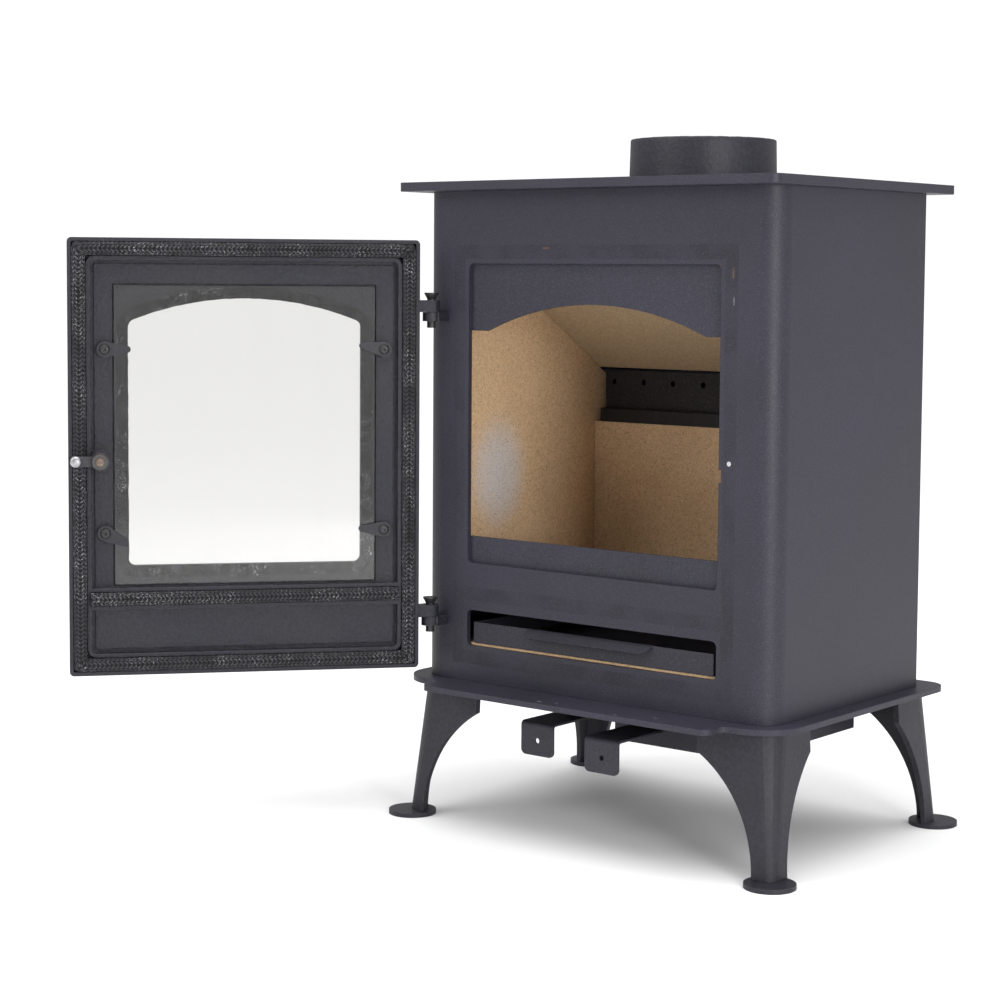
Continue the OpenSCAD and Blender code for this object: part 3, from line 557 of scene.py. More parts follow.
@dataclass(frozen=True)
class GlassFibre(Finish):
    """Black glass fibre yarn, knitted or woven, with painted shade in its grooves and dips, lighter tops and
    a few painted glints on the tops.
    """

    colour: Colour = (0.019, 0.0185, 0.0225)
    glint_colour: Colour = (0.46, 0.46, 0.48)
    bright: float = 0.75
    patch: float = 0.45

    def paint(self, g: Graph) -> None:
        """Fill the shader.

        Args:
            g: The material's node tree.
        """
        lift = g.tree.nodes.new("ShaderNodeAttribute")
        lift.attribute_name = LIFT
        # Painted shade: the grooves between stitches or folds are darkened and the tops lightened, by their
        # height.
        high = g.spread(lift.outputs["Fac"], 0.25, 0.95)
        yarn = g.noise(2600.0, 3, 0.7)
        base = g.mix(high, shade(self.colour, 0.07), shade(self.colour, 2.1))
        # Painted shade in the fine dips of the yarn's relief.
        base = g.coat(base, g.spread(yarn, 0.5, 0.3), 0.6, shade(self.colour, 0.3))
        # Painted glints: bright flecks on the stitch tops, in patches.
        patch = g.spread(g.noise(26.0, 3), self.patch - 0.06, self.patch + 0.14)
        glint = g.times(g.spread(g.noise(780.0, 3, 0.8), 0.55, 0.63), patch)
        glint = g.times(glint, g.spread(high, 0.1, 0.6))
        base = g.coat(base, glint, self.bright, self.glint_colour)
        g.set(base_color=base, roughness=g.spread(glint, 0.0, 1.0, 0.8, 0.45), specular_ior_level=0.35,
              sheen_weight=0.06, sheen_roughness=0.5, normal=g.relief(yarn, 0.3 * MM, 0.8))


@dataclass(frozen=True)
class ClearGlass(Finish):
    """Clear ceramic glass with faint smears."""

    tint: Colour = (0.765, 0.76, 0.75)
    ior: float = 1.47

    def paint(self, g: Graph) -> None:
        """Fill the shader.

        Args:
            g: The material's node tree.
        """
        smear = g.noise(1.0, 5, 0.6, g.stretched((26.0, 26.0, 7.0)))
        hazy = g.spread(smear, 0.5, 0.75)
        tint = g.mix(g.times(hazy, 0.5), self.tint, shade(self.tint, 0.95))
        g.set(base_color=tint, roughness=g.spread(hazy, 0.0, 1.0, 0.0, 0.05),
              transmission_weight=1.0, ior=self.ior, specular_ior_level=0.2)


@dataclass(frozen=True)
class Steel(Finish):
    """Bare, plated or blackened steel with fine tool marks and spots."""

    colour: Colour
    roughness: float = 0.3
    metal: float = 1.0
    spot: Colour = (0.10, 0.055, 0.03)
    spots: float = 0.2

    def paint(self, g: Graph) -> None:
        """Fill the shader.

        Args:
            g: The material's node tree.
        """
        marks = g.noise(1.0, 4, 0.6, g.stretched((900.0, 900.0, 4200.0)))
        cloud = g.noise(260.0, 5, 0.6)
        base = g.mix(g.spread(marks, 0.3, 0.7), shade(self.colour, 0.82),
                     shade(self.colour, 1.12))
        rust = g.times(g.spread(cloud, 0.58 - 0.25 * self.spots, 0.72 - 0.2 * self.spots), self.spots)
        base = g.mix(rust, base, self.spot)
        g.set(base_color=base, metallic=g.spread(rust, 0.0, 1.0, self.metal, self.metal * 0.4),
              roughness=g.spread(cloud, 0.3, 0.7, self.roughness - 0.05, self.roughness + 0.12),
              normal=g.relief(marks, 0.03 * MM, 0.6, g.eased(0.35 * MM)))


BLACK_STEEL = Steel("black_steel", (0.045, 0.044, 0.047), 0.4, metal=0.6)


@dataclass(frozen=True)
class PaleFloor(Finish):
    """Plain matt white floor."""

    name: str = "pale_floor"

    def paint(self, g: Graph) -> None:
        """Fill the shader.

        Args:
            g: The material's node tree.
        """
        g.set(base_color=g.mix(g.noise(3.0, 3), (0.90, 0.90, 0.90), (0.93, 0.93, 0.93)), roughness=0.9)


@dataclass
class Palette:
    """Every finish of the stove, made once."""

    made: dict[str, bpy.types.Material] = field(default_factory=dict)

    def add(self, finish: Finish) -> bpy.types.Material:
        """Make a finish the first time it is asked for.

        Args:
            finish: The finish.

        Returns:
            The material.
        """
        if finish.name not in self.made:
            self.made[finish.name] = finish.make()
        return self.made[finish.name]


# ---------- frames and meshes ----------
@dataclass(frozen=True)
class Local:
    """A piece's own frame inside the stove, with a matrix to the stove's frame."""

    matrix: Matrix

    def box(self, node: str) -> tuple[Vector, Vector]:
        """Measure a CAD node along this frame's axes.

        Args:
            node: Name of the CAD node.

        Returns:
            Lowest and highest corner in this frame.
        """
        back = self.matrix.inverted()
        points = [back @ v.co for v in frame["nodes"][node].data.vertices]
        low = Vector(min(p[i] for p in points) for i in range(3))
        high = Vector(max(p[i] for p in points) for i in range(3))
        return low, high


def joint(name: str) -> dict:
    """Give a joint of the frame by name."""
    return next(j for j in frame["joints"] if j["name"] == name)


def door_frame() -> Local:
    """Give the door's frame: X from the hinge axis along the door, Y into the stove, Z up.

    Returns:
        The frame of the door as it stands open.
    """
    hinge = joint("door_hinge")
    x, y, _ = hinge["pos_m"]
    turn = Matrix.Rotation(math.radians(hinge["range_deg"][0]), 4, "Z")
    return Local(Matrix.Translation((x, y, 0.0)) @ turn)


def latch_frame() -> Local:
    """Give the spindle's frame: Z along the spindle into the stove, X away from the hinge.

    Returns:
        The frame of the latch.
    """
    pivot = Vector(joint("latch_turn")["pos_m"])
    turn = door_frame().matrix.to_3x3().to_4x4() @ Matrix.Rotation(-math.pi / 2, 4, "X")
    return Local(Matrix.Translation(pivot) @ turn)


def dress(material: bpy.types.Material, *nodes: str) -> None:
    """Give CAD nodes a material.

    Args:
        material: Material for every slot.
        *nodes: Names of the CAD nodes.
    """
    for name in nodes:
        slots = frame["nodes"][name].data.materials
        for index in range(len(slots)):
            slots[index] = material
        LOG.info("dressed %s", name)


def piece(name: str, bm: Mesh, material: bpy.types.Material, body: Body,
          replaces: Iterable[str] = (), local: Local | None = None) -> bpy.types.Object:
    """Turn a mesh into a piece of the stove.

    Args:
        name: Name of the piece.
        bm: Its mesh, which is freed.
        material: Its finish.
        body: Body that it rides on.
        replaces: CAD nodes that it stands for.
        local: Frame that the mesh is drawn in.

    Returns:
        The new object.
    """
    if local:
        bmesh.ops.transform(bm, matrix=local.matrix, verts=bm.verts)
    bmesh.ops.recalc_face_normals(bm, faces=bm.faces)
    for face in bm.faces:
        face.smooth = True
    for edge in bm.edges:
        edge.smooth = len(edge.link_faces) == 2 and edge.calc_face_angle(0.0) < SHARP
    mesh = bpy.data.meshes.new(name)
    bm.to_mesh(mesh)
    bm.free()
    mesh.materials.append(material)
    made = bpy.data.objects.new(name, mesh)
    bpy.context.scene.collection.objects.link(made)
    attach(made, body.value)
    if replaces:
        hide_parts(*replaces)
    LOG.info("built %s: %d faces", name, len(mesh.polygons))
    return made


@dataclass(frozen=True)
class Level:
    """One level of a turned piece: radius, height and outline."""

    r: float
    z: float
    shape: Shape = Shape.ROUND
    limit: float = 1.0

    def radius(self, angle: float) -> float:
        """Give the radius at an angle; a hexagon's corners are cut at the limit.

        Args:
            angle: Angle round the axis.

        Returns:
            Distance from the axis.
        """
        if self.shape is Shape.ROUND:
            return self.r
        sixth = (angle + math.pi / 6) % (math.pi / 3) - math.pi / 6
        return min(self.r / math.cos(sixth), self.limit)


def skin(bm: Mesh, rows: Sequence[Sequence[bmesh.types.BMVert]], closed: bool) -> None:
    """Join rows of points into a tube.

    Args:
        bm: Mesh that holds the points.
        rows: The rows, each with the same number of points.
        closed: Join the last row to the first, or else give both ends a face.
    """
    pairs = list(zip(rows, rows[1:])) + ([(rows[-1], rows[0])] if closed else [])
    for a, b in pairs:
        for i in range(len(a)):
            j = (i + 1) % len(a)
            bm.faces.new((a[i], a[j], b[j], b[i]))
    if not closed:
        bm.faces.new(rows[0][::-1])
        bm.faces.new(rows[-1])


def turned(levels: Sequence[Level], steps: int = 72, closed: bool = False, bm: Mesh | None = None,
           at: Matrix | None = None, wobble: Wobble | None = None) -> Mesh:
    """Build a piece turned about Z.

    Args:
        levels: Its outline, from one end to the other.
        steps: Number of steps round.
        closed: Join the last level to the first, for a ring.
        bm: Mesh to add to.
        at: Place in the mesh.
        wobble: Change of height for a radius, height and angle.

    Returns:
        The mesh.
    """
    bm = bm or bmesh.new()
    at = at or Matrix.Identity(4)
    rows = []
    for level in levels:
        row = []
        for i in range(steps):
            angle = 2 * math.pi * i / steps
            r = level.radius(angle)
            z = level.z + (wobble(level.r, level.z, angle) if wobble else 0.0)
            row.append(bm.verts.new(at @ Vector((r * math.cos(angle), r * math.sin(angle), z))))
        rows.append(row)
    skin(bm, rows, closed)
    return bm


# ---------- the studio ----------
@dataclass(frozen=True)
class Studio:
    """Camera, soft lights and a plain pale floor."""

    camera_at: tuple[float, float, float] = (1.1523, -1.6629, 0.5041)
    turn: float = 39.05
    dip: float = 4.28
    roll: float = 0.4
    lens: float = 79.74
    shift: tuple[float, float] = (-0.0021, -0.0618)
    floor_half: float = 60.0
    overhead: float = 2.2
    glow: float = 0.5
    backdrop: float = 1.05
    aim: tuple[float, float, float] = (0.0, 0.0, 0.32)

    def build(self, palette: Palette) -> None:
        """Set up camera, floor, lights and surroundings.

        Args:
            palette: The finishes.
        """
        for leftover in [o for o in bpy.data.objects if o.name in ("Cube", "Light", "Camera")]:
            bpy.data.objects.remove(leftover)
        self._camera()
        self._floor(palette)
        self._lights()
        self._surroundings()

    def _camera(self) -> None:
        """Place the camera."""
        az, el, roll = (math.radians(a) for a in (self.turn, self.dip, self.roll))
        forward = Vector((-math.sin(az) * math.cos(el), math.cos(az) * math.cos(el), -math.sin(el)))
        right = Vector((math.cos(az), math.sin(az), 0.0))
        up = right.cross(forward)
        x_axis = right * math.cos(roll) + up * math.sin(roll)
        y_axis = up * math.cos(roll) - right * math.sin(roll)
        data = bpy.data.cameras.new("camera")
        data.lens, data.sensor_width = self.lens, 36.0
        data.shift_x, data.shift_y = self.shift
        camera = bpy.data.objects.new("camera", data)
        turn = Matrix((x_axis, y_axis, -forward)).transposed().to_4x4()
        camera.matrix_world = Matrix.Translation(self.camera_at) @ turn
        bpy.context.scene.collection.objects.link(camera)
        bpy.context.scene.camera = camera
        LOG.info("placed the camera")

    def _floor(self, palette: Palette) -> None:
        """Lay the floor.

        Args:
            palette: The finishes.
        """
        bm = bmesh.new()
        corners = ((-1, -1), (1, -1), (1, 1), (-1, 1))
        bm.faces.new([bm.verts.new((x * self.floor_half, y * self.floor_half, 0.0)) for x, y in corners])
        mesh = bpy.data.meshes.new("floor")
        bm.to_mesh(mesh)
        bm.free()
        mesh.materials.append(palette.add(PaleFloor()))
        floor = bpy.data.objects.new("floor", mesh)
        bpy.context.scene.collection.objects.link(floor)

    def _lights(self) -> None:
        """Hang the soft lights."""
        # name, place, size and power
        lamps = (("key", (-1.1, -2.5, 1.7), 1.5, 21.0), ("side", (2.6, 0.1, 1.3), 1.6, 2.0),
                 ("front", (2.1, -1.17, 0.6), 0.6, 22.0), ("top", (0.2, -0.5, 2.4), 1.6, 20.0))
        for name, place, size, power in lamps:
            data = bpy.data.lights.new(name, "AREA")
            data.shape, data.size, data.energy = "SQUARE", size, power
            lamp = bpy.data.objects.new(name, data)
            lamp.location = place
            ray = Vector(self.aim) - Vector(place)
            lamp.rotation_euler = ray.to_track_quat("-Z", "Y").to_euler()
            bpy.context.scene.collection.objects.link(lamp)
        sky = bpy.data.lights.new("overhead", "SUN")
        sky.energy, sky.angle = self.overhead, math.radians(80.0)
        bpy.context.scene.collection.objects.link(bpy.data.objects.new("overhead", sky))

    def _surroundings(self) -> None:
        """Make the surroundings white to the eye and softer as a light."""
        world = bpy.data.worlds.new("surroundings")
        bpy.context.scene.world = world
        world.use_nodes = True
        tree = world.node_tree
        tree.nodes.clear()
        path = tree.nodes.new("ShaderNodeLightPath")
        seen = tree.nodes.new("ShaderNodeMath")
        seen.operation = "MAXIMUM"
        tree.links.new(path.outputs["Is Camera Ray"], seen.inputs[0])
        tree.links.new(path.outputs["Is Transmission Ray"], seen.inputs[1])
        strength = tree.nodes.new("ShaderNodeMapRange")
        tree.links.new(seen.outputs[0], strength.inputs["Value"])
        strength.inputs["To Min"].default_value = self.glow
        strength.inputs["To Max"].default_value = self.backdrop
        sky = tree.nodes.new("ShaderNodeBackground")
        sky.inputs["Color"].default_value = (1.0, 1.0, 1.0, 1.0)
        tree.links.new(strength.outputs[0], sky.inputs["Strength"])
        output = tree.nodes.new("ShaderNodeOutputWorld")
        tree.links.new(sky.outputs[0], output.inputs["Surface"])
        bpy.context.scene.view_settings.view_transform = "Standard"


# ---------- the stove ----------
@dataclass(frozen=True)
class Casing:
    """Body, top plate, base plate, shield and legs."""

    def build(self, palette: Palette) -> None:
        """Dress the steel casing and the legs.

        Args:
            palette: The finishes.
        """
        door = door_frame()
        low, high = door.box("door_rope")
        seal = SealMark(half=(high.x - low.x) / 2, low=low.z, high=high.z,
                        cross=sum(v.z for v in door.box("cross_rope")) / 2)
        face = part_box("body_shell")[0].y
        stile = (high.x - low.x) / 2 - 8.0 * MM
        rust = (0.075, 0.05, 0.04)
        scuffs = (Scuff((stile + 3.0 * MM, face, high.z - 24.0 * MM), 2.0 * MM, (0.6, 2, 2.4), rust),
                  Scuff((stile + 4.0 * MM, face, high.z - 47.0 * MM), 1.5 * MM, (0.6, 2, 2.6)),
                  Scuff((-48.0 * MM, face, high.z - 3.0 * MM), 2.2 * MM, (1.8, 2, 0.5), rust))
        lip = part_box("base_plate")
        bare = (0.2, 0.19, 0.2)
        chips = ((-25.0, 9.0, 1.4), (-9.0, 13.0, 1.0), (94.0, 16.0, 1.2), (60.0, 5.0, 0.9))
        marks = tuple(Scuff((x * MM, lip[0].y + y * MM, lip[1].z), r * MM, (1.6, 1, 2), bare)
                      for x, y, r in chips)
        dress(palette.add(HeatPaint("shell_paint", seal=seal, scuffs=scuffs)), "body_shell")
        dress(palette.add(HeatPaint("top_paint")), "top_plate")
        dress(palette.add(HeatPaint("base_paint", scuffs=marks)), "base_plate")
        dress(palette.add(HeatPaint("inner_paint", colour=(0.0265, 0.0255, 0.038), roughness=0.55)),
              "throat_plate", "log_guard", "back_panel", "floor_panel", "heat_shield")
        dress(palette.add(CastPaint("leg_paint", colour=(0.0190, 0.0180, 0.0275), sand=0.4 * MM)),
              "leg_front_left", "leg_front_right", "leg_rear_left", "leg_rear_right",
              "foot_discs", "hinge_lugs")
        zinc = palette.add(Steel("bright_zinc", (0.62, 0.63, 0.65), 0.28, spots=0.08))
        black = palette.add(BLACK_STEEL)
        dress(zinc, "catch_plate", "shield_spacers", "shield_screws")
        dress(black, "leg_bolts", "base_bolts", "hinge_pins")


@dataclass(frozen=True)
class FlueCollar:
    """Short cast collar with a rough ground rim."""

    wall: float = 4.5 * MM
    taper: float = 1.0 * MM
    rough: float = 0.7 * MM

    def build(self, palette: Palette) -> None:
        """Turn the collar.

        Args:
            palette: The finishes.
        """
        low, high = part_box("flue_collar")
        outer = (high.x - low.x) / 2
        bore = outer - self.wall
        tall = high.z - low.z
        rim = outer - self.taper
        levels = [Level(bore, 0.0), Level(outer, 0.0)]
        levels += [Level(outer - self.taper * i / 12, tall * i / 12.4) for i in range(1, 12)]
        levels += [Level(rim, tall - 1.3 * MM), Level(rim - 0.35 * MM, tall - 0.5 * MM),
                   Level(rim - 1.2 * MM, tall - 0.1 * MM), Level(bore + 1.0 * MM, tall - 0.1 * MM),
                   Level(bore + 0.2 * MM, tall - 0.6 * MM), Level(bore, tall - 1.5 * MM),
                   Level(bore, tall / 2)]

        def chipped(r: float, z: float, angle: float) -> float:
            """Lower the rim by a small uneven amount.

            Args:
                r: Radius of the level.
                z: Height of the level.
                angle: Angle round the collar.

            Returns:
                Change of height, in metres.
            """
            if z < tall - 2.0 * MM:
                return 0.0
            at = Vector((math.cos(angle), math.sin(angle), r * 40.0))
            return -self.rough * max(0.0, noise.noise(at * 9.0) * 0.7 + noise.noise(at * 31.0) * 0.5)

        place = Local(Matrix.Translation(((low.x + high.x) / 2, (low.y + high.y) / 2, low.z)))
        piece("collar_ring", turned(levels, 240, True, wobble=chipped),
              palette.add(CastPaint("collar_cast", colour=(0.031, 0.030, 0.044), sand=0.5 * MM, edge_wear_and_highlight=0.7)),
              Body.STOVE, ("flue_collar",), place)


@dataclass(frozen=True)
class FireChamber:
    """Bricks, baffle, grate, air box, ash board and pan."""

    def build(self, palette: Palette) -> None:
        """Dress the fire chamber.

        Args:
            palette: The finishes.
        """
        low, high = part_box("side_brick_left")
        # A soft pale patch towards the front of the left brick's inner face.
        pale_patch_centre = (high.x, low.y + 62.0 * MM, low.z + 108.0 * MM)
        pale_patch = Scuff(pale_patch_centre, 40.0 * MM, (1, 0.95, 1.25), (0.60, 0.62, 0.66))
        dress(palette.add(Vermiculite("left_brick_board", pale=(pale_patch,))), "side_brick_left")
        dress(palette.add(Vermiculite("brick_board")), "side_brick_right", "back_brick", "ash_floor_board")
        baffle = Vermiculite("baffle_board", colour=(0.46, 0.335, 0.205), scorch=0.12)
        dress(palette.add(baffle), "baffle_board")
        sheet = palette.add(HeatPaint("dark_sheet", colour=(0.025, 0.024, 0.034), roughness=0.55, edge_wear_and_highlight=0.5))
        # Painted shade: a much darker copy of the sheet paint for the rear air box, standing in for the shade
        # deep in the fire chamber.
        dress(palette.add(HeatPaint("sooted_sheet", colour=(0.009, 0.0085, 0.0095), roughness=0.6, edge_wear_and_highlight=0.4)),
              "rear_air_box")
        dress(sheet, "deck_supports", "grate_deck", "pan_rails", "ash_pan", "air_duct",
              "primary_throat", "air_slider_left", "air_slider_right")
        dress(palette.add(CastPaint("bare_cast", colour=(0.026, 0.0255, 0.027), roughness=0.7)), "fire_grate")


@dataclass(frozen=True)
class Station:
    """One cross-section of the rope: its middle, the way out and its reach each way."""

    at: Vector
    out: Vector
    outer: float
    inner: float


@dataclass(frozen=True)
class Rope:
    """Knitted sealing rope pressed into its channel, in a herringbone of fine stitches."""

    columns: int = 16
    pitch: float = 3.9 * MM
    relief: float = 0.95 * MM
    step: float = 0.75 * MM
    around: int = 80
    square: float = 0.58
    corner: float = 6.3 * MM
    outer_corner: float = 4.5 * MM
    slant: float = 0.75

    def stitch(self, along: float, angle: float, total: float) -> float:
        """Give the height of the herringbone.

        Args:
            along: Distance along the rope.
            angle: Angle round the rope.
            total: The rope's length, which holds a whole number of stitches.

        Returns:
            Height, 0..1.
        """
        column, across = divmod(self.columns * angle / (2 * math.pi), 1.0)
        slope = 1.0 if int(column) % 2 else -1.0
        phase = max(1, round(total / self.pitch)) * along / total + slope * (across - 0.5) * self.slant
        yarn = abs(math.sin(math.pi * phase)) ** 0.7
        return yarn * math.sin(math.pi * min(0.94, max(0.06, across))) ** 0.4

    def sweep(self, path: Sequence[Station], low: Vector, high: Vector, closed: bool,
              total: float) -> Mesh:
        """Run the rope along a path.

        Args:
            path: Its stations.
            low: Lowest corner of its space.
            high: Highest corner of its space.
            closed: Join the ends.
            total: Length of the path.

        Returns:
            The rope's mesh, with the stitches' height on each point.
        """
        bm = bmesh.new()
        lift = bm.verts.layers.float.new(LIFT)
        middle, half_h = (low.y + high.y) / 2, (high.y - low.y) / 2
        rows = []
        for index, station in enumerate(path):
            along = total * index / (len(path) if closed else len(path) - 1)
            row = []
            for i in range(self.around):
                angle = 2 * math.pi * i / self.around
                c, s = math.cos(angle), math.sin(angle)
                worn = 0.3 * max(0.0, noise.noise(Vector((along * 70.0, angle, 3.0))))
                height = max(0.0, self.stitch(along, angle, total) - worn)
                sunk = self.relief * (1.0 - height)
                half_w = station.outer if c > 0 else station.inner
                out = math.copysign(abs(c) ** self.square, c) * max(0.0, half_w - sunk)
                deep = math.copysign(abs(s) ** self.square, s) * (half_h - sunk)
                at = station.at + station.out * out
                vert = bm.verts.new((at.x, middle + deep, at.z))
                vert[lift] = height
                row.append(vert)
            rows.append(row)
        skin(bm, rows, closed)
        return bm

    def _reach(self, angle: float, half: float) -> float:
        """Give how far the rope fills the channel's outer corner.

        Args:
            angle: Angle from the corner's start, 0 to a quarter turn.
            half: Half the rope's width.

        Returns:
            Distance outwards from the rope's middle line.
        """
        side = self.corner + half
        c, s = math.cos(angle), math.sin(angle)
        flat = side / max(c, s)
        hub = side - self.outer_corner
        if min(flat * c, flat * s) <= hub:
            return flat - self.corner
        ahead = hub * (c + s)
        inside = max(0.0, self.outer_corner ** 2 - 2 * hub * hub + ahead * ahead)
        return ahead + math.sqrt(inside) - self.corner

    def ring(self, low: Vector, high: Vector, width: float) -> Mesh:
        """Lay the rope round a rectangle.

        Args:
            low: Lowest corner of its space.
            high: Highest corner of its space.
            width: Width of the rope.

        Returns:
            The rope's mesh.
        """
        half, corner = width / 2, self.corner
        x0, x1 = low.x + half + corner, high.x - half - corner
        z0, z1 = low.z + half + corner, high.z - half - corner
        hubs = ((x1, z0, -90), (x1, z1, 0), (x0, z1, 90), (x0, z0, 180))
        line: list[Station] = []
        bends = max(8, round(corner * math.pi / 2 / self.step))
        for index, (cx, cz, start) in enumerate(hubs):
            hub = Vector((cx, 0.0, cz))
            for i in range(bends):
                share = math.pi / 2 * i / bends
                a = math.radians(start) + share
                out = Vector((math.cos(a), 0.0, math.sin(a)))
                line.append(Station(hub + out * corner, out, self._reach(share, half), half))
            nx, nz, following = hubs[(index + 1) % 4]
            a = math.radians(following)
            out = Vector((math.cos(a), 0.0, math.sin(a)))
            begin, end = hub + out * corner, Vector((nx, 0.0, nz)) + out * corner
            steps = round((end - begin).length / self.step)
            line += [Station(begin.lerp(end, i / steps), out, half, half) for i in range(steps)]
        total = sum((line[i].at - line[i - 1].at).length for i in range(len(line)))
        return self.sweep(line, low, high, True, total)

    def bar(self, low: Vector, high: Vector) -> Mesh:
        """Lay a straight length of rope.

        Args:
            low: Lowest corner of its space.
            high: Highest corner of its space.

        Returns:
            The rope's mesh.
        """
        middle, half = (low.z + high.z) / 2, (high.z - low.z) / 2
        steps = round((high.x - low.x) / self.step)
        up = Vector((0.0, 0.0, 1.0))
        line = [Station(Vector((low.x + (high.x - low.x) * i / steps, 0.0, middle)), up, half, half)
                for i in range(steps + 1)]
        return self.sweep(line, low, high, False, high.x - low.x)


@dataclass(frozen=True)
class WindowEdge:
    """Outline of the arched window, as a distance outwards from its edge."""

    middle: float
    half: float
    sill: float
    crown: float
    rise: float
    sill_corner: float
    shoulder_corner: float

    def outside(self, x: float, z: float) -> float:
        """Give how far a point lies outside the edge.

        Args:
            x: Place across the door.
            z: Height of the point.

        Returns:
            Distance from the edge, negative inside.
        """
        r = (self.half ** 2 + self.rise ** 2) / (2 * self.rise)
        side = abs(x - self.middle) - self.half
        arch = math.hypot(x - self.middle, z - (self.crown - r)) - r
        return max(self._corner(side, self.sill - z, self.sill_corner),
                   self._corner(side, arch, self.shoulder_corner))

    @staticmethod
    def _corner(a: float, b: float, r: float) -> float:
        """Join two edges with a rounded corner.

        Args:
            a: Distance outside one edge.
            b: Distance outside the other.
            r: Radius of the corner.

        Returns:
            Distance outside the two joined.
        """
        p, q = a + r, b + r
        return math.hypot(max(p, 0.0), max(q, 0.0)) + min(max(p, q), 0.0) - r

    def reach(self, centre: Vector, ray: Vector, beyond: float) -> float:
        """Give the distance from a centre, along a ray, to a line beyond the edge.

        Args:
            centre: Start of the ray, inside the window.
            ray: Direction of the ray.
            beyond: Distance of the line from the edge.

        Returns:
            Distance along the ray.
        """
        near, far = 0.0, 0.4
        for _ in range(30):
            test = (near + far) / 2
            spot = centre + ray * test
            near, far = (test, far) if self.outside(spot.x, spot.z) < beyond else (near, test)
        return near


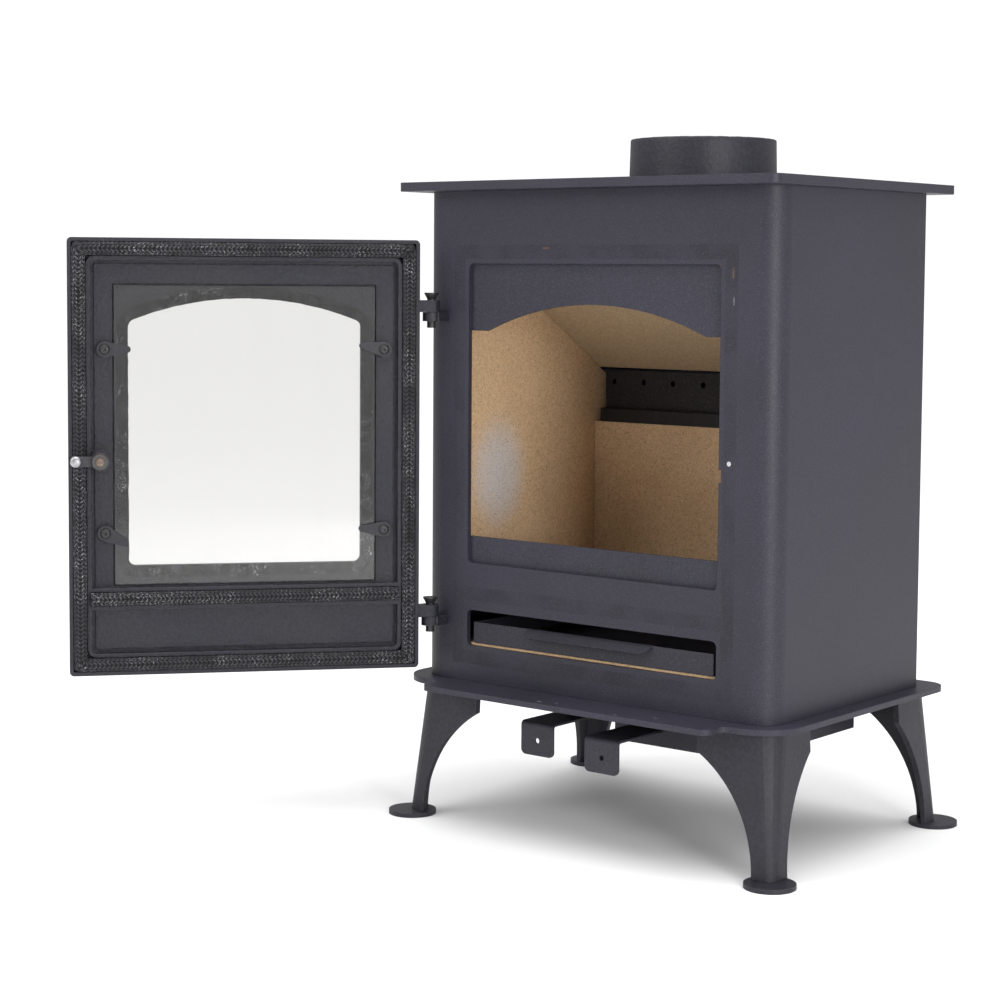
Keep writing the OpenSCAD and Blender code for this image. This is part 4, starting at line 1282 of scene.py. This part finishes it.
@dataclass(frozen=True)
class Door:
    """Cast door seen from inside: casting, ropes, glass, tape, clips and screws."""

    rope: Rope = Rope()
    rope_w: float = 12.0 * MM
    tape_w: float = 11.0 * MM
    window_rise: float = 21.0 * MM
    sill_corner: float = 6.5 * MM
    shoulder_corner: float = 5.0 * MM
    tape_rows: int = 13
    tape_steps: int = 720
    screw_head: float = 4.7 * MM
    socket: float = 1.45 * MM

    def build(self, palette: Palette) -> None:
        """Build and dress the door.

        Args:
            palette: The finishes.
        """
        door = door_frame()
        cast = palette.add(CastPaint("door_cast"))
        dress(cast, "door_casting")
        dress(palette.add(CastPaint("clip_cast", colour=(0.022, 0.022, 0.029), sand=0.2 * MM)), "glass_clips")
        dress(palette.add(ClearGlass("clear_glass")), "window_glass")
        fibre = palette.add(GlassFibre("rope_fibre"))
        low, high = door.box("door_rope")
        piece("door_rope_braid", self.rope.ring(low, high, self.rope_w), fibre, Body.DOOR,
              ("door_rope",), door)
        piece("cross_rope_braid", self.rope.bar(*door.box("cross_rope")), fibre, Body.DOOR,
              ("cross_rope",), door)
        self._tape(palette, door)
        self._screws(palette, door)

    def _tape(self, palette: Palette, door: Local) -> None:
        """Lay the wrinkled tape under the glass's edge.

        Args:
            palette: The finishes.
            door: The door's frame.
        """
        low, high = door.box("glass_gasket")
        centre = Vector(((low.x + high.x) / 2, 0.0, (low.z + high.z) / 2))
        edge = WindowEdge(centre.x, (high.x - low.x) / 2 - self.tape_w, low.z + self.tape_w,
                          high.z - self.tape_w, self.window_rise, self.sill_corner, self.shoulder_corner)
        bm = bmesh.new()
        lift = bm.verts.layers.float.new(LIFT)
        tops, unders = [], []
        for i in range(self.tape_steps):
            angle = 2 * math.pi * i / self.tape_steps
            ray = Vector((math.cos(angle), 0.0, math.sin(angle)))
            hole = edge.reach(centre, ray, 0.35 * MM * noise.noise(ray * 22.0) - 0.2 * MM)
            outer = edge.reach(centre, ray, self.tape_w - 0.5 * MM + 0.45 * MM * noise.noise(ray * 30.0))
            top, under = [], []
            for row in range(self.tape_rows):
                spot = centre + ray * (hole + (outer - hole) * row / (self.tape_rows - 1))
                fold = noise.noise(Vector((spot.x * 110.0, spot.z * 110.0, 2.0)))
                fold += 0.8 * noise.noise(Vector((spot.x * 420.0, spot.z * 420.0, 5.0)))
                height = min(1.0, max(0.0, 0.5 + 0.6 * fold))
                for line, y in ((top, high.y - 0.08 * MM - 0.6 * MM * (1.0 - height)), (under, low.y)):
                    vert = bm.verts.new((spot.x, y, spot.z))
                    vert[lift] = height
                    line.append(vert)
            tops.append(top)
            unders.append(under)
        last = self.tape_rows - 1
        for i in range(self.tape_steps):
            j = (i + 1) % self.tape_steps
            for row in range(last):
                bm.faces.new((tops[i][row], tops[j][row], tops[j][row + 1], tops[i][row + 1]))
                bm.faces.new((unders[i][row + 1], unders[j][row + 1], unders[j][row], unders[i][row]))
            bm.faces.new((tops[i][0], unders[i][0], unders[j][0], tops[j][0]))
            bm.faces.new((tops[j][last], unders[j][last], unders[i][last], tops[i][last]))
        # The tape's folds get the same painted shade and painted glints as the rope.
        tape = GlassFibre("tape_fibre", colour=(0.010, 0.010, 0.0115), bright=1.0, patch=0.46)
        piece("glass_tape", bm, palette.add(tape), Body.DOOR, ("glass_gasket",), door)

    def _screws(self, palette: Palette, door: Local) -> None:
        """Turn the four domed socket screws.

        Args:
            palette: The finishes.
            door: The door's frame.
        """
        back = door.matrix.inverted()
        points = [back @ v.co for v in frame["nodes"]["clip_screws"].data.vertices]
        low, high = door.box("clip_screws")
        r = self.screw_head
        spots = [(x, z) for x in (low.x + r, high.x - r)
                 for z in self._heights([p.z for p in points if abs(p.x - x) < 2 * r])]
        tall = 3.0 * MM
        bm = bmesh.new()
        for x, z in spots:
            at = Matrix.Translation((x, high.y - tall, z)) @ Matrix.Rotation(-math.pi / 2, 4, "X")
            dome = [Level(0.5 * MM, -8.5 * MM), Level(2.2 * MM, -8.2 * MM), Level(2.2 * MM, 0.02 * MM)]
            dome += [Level(r - 0.3 * MM, 0.02 * MM), Level(r - 0.1 * MM, 0.4 * MM)]
            for i in range(1, 8):
                a = math.radians(12.0 * i)
                dome.append(Level(1.9 * MM + (r - 2.0 * MM) * math.cos(a), 0.5 * MM + 2.4 * MM * math.sin(a)))
            dome += [Level(self.socket, 2.9 * MM, Shape.HEX), Level(self.socket, 1.2 * MM, Shape.HEX),
                     Level(0.3 * MM, 0.9 * MM)]
            turned(dome, 72, bm=bm, at=at)
        piece("clip_screw_set", bm, palette.add(BLACK_STEEL),
              Body.DOOR, ("clip_screws",), door)

    @staticmethod
    def _heights(values: list[float]) -> list[float]:
        """Split one column's heights into its two screws.

        Args:
            values: Heights of the column's points.

        Returns:
            Middle height of each screw.
        """
        split = (min(values) + max(values)) / 2
        groups = [[v for v in values if v < split], [v for v in values if v >= split]]
        return [(min(g) + max(g)) / 2 for g in groups]


@dataclass(frozen=True)
class Latch:
    """Spindle end, nut, arm, bright stud and the lever outside the door."""

    nut_flat: float = 6.6 * MM
    nut_corner: float = 7.75 * MM
    nut_h: float = 4.5 * MM
    thread: float = 3.4 * MM
    thread_pitch: float = 1.25 * MM

    def build(self, palette: Palette) -> None:
        """Build and dress the latch.

        Args:
            palette: The finishes.
        """
        latch = latch_frame()
        spindle = Steel("spindle_steel", (0.26, 0.21, 0.18), 0.5, metal=0.85, spots=0.7)
        arm = CastPaint("arm_paint", colour=(0.034, 0.033, 0.040), sand=0.2 * MM, edge_wear_and_highlight=0.8)
        satin = HeatPaint("handle_paint", colour=(0.018, 0.018, 0.02), roughness=0.36, peel=0.05 * MM)
        dress(palette.add(spindle), "latch_spindle")
        dress(palette.add(arm), "latch_arm")
        dress(palette.add(satin), "door_handle", "handle_rose", "handle_grip")
        low = latch.box("latch_nut")[0]
        r, h = self.nut_corner, self.nut_h
        nut = [Level(self.thread, 0.0), Level(r - 0.7 * MM, 0.0),
               Level(self.nut_flat, 0.5 * MM, Shape.HEX, r), Level(self.nut_flat, h - 0.6 * MM, Shape.HEX, r),
               Level(r - 0.9 * MM, h), Level(self.thread, h)]
        steel = Steel("nut_steel", (0.085, 0.08, 0.08), 0.42, metal=0.8, spots=0.3)
        place = Local(latch.matrix @ Matrix.Translation((0.0, 0.0, low.z)))
        piece("spindle_nut", turned(nut, 96, True), palette.add(steel), Body.LATCH,
              ("latch_nut",), place)
        self._stud(palette, latch)

    def _stud(self, palette: Palette, latch: Local) -> None:
        """Turn the bright stud at the arm's end.

        Args:
            palette: The finishes.
            latch: The latch's frame.
        """
        low, high = latch.box("latch_stud")
        r, tall = (high.x - low.x) / 2, high.z - low.z
        neck = 3.0 * MM
        levels = [Level(r - 0.5 * MM, 0.0), Level(r, 0.5 * MM), Level(r, neck - 0.02 * MM),
                  Level(r / 2, neck - 0.01 * MM), Level(r / 2, tall - 2.5 * MM),
                  Level(r - 0.1 * MM, tall - 2.49 * MM)]
        dome = 2.3 * MM
        for degrees in (10, 25, 40, 55, 70, 82):
            a = math.radians(degrees)
            levels.append(Level(r * math.cos(a), tall - dome + dome * math.sin(a)))
        place = Matrix.Translation(((low.x + high.x) / 2, (low.y + high.y) / 2, low.z))
        bright = Steel("bright_stud", (0.40, 0.40, 0.42), 0.38, spots=0.15)
        piece("catch_stud", turned(levels, 64), palette.add(bright), Body.LATCH,
              ("latch_stud",), Local(latch.matrix @ place))


def main() -> None:
    """Build the studio and the stove, sub-assembly by sub-assembly."""
    logging.basicConfig(level=logging.INFO, format="%(name)s: %(message)s")
    palette = Palette()
    for part in (Studio(), Casing(), FlueCollar(), FireChamber(), Door(), Latch()):
        LOG.info("making %s", type(part).__name__)
        part.build(palette)


if __name__ == "__main__":
    main()
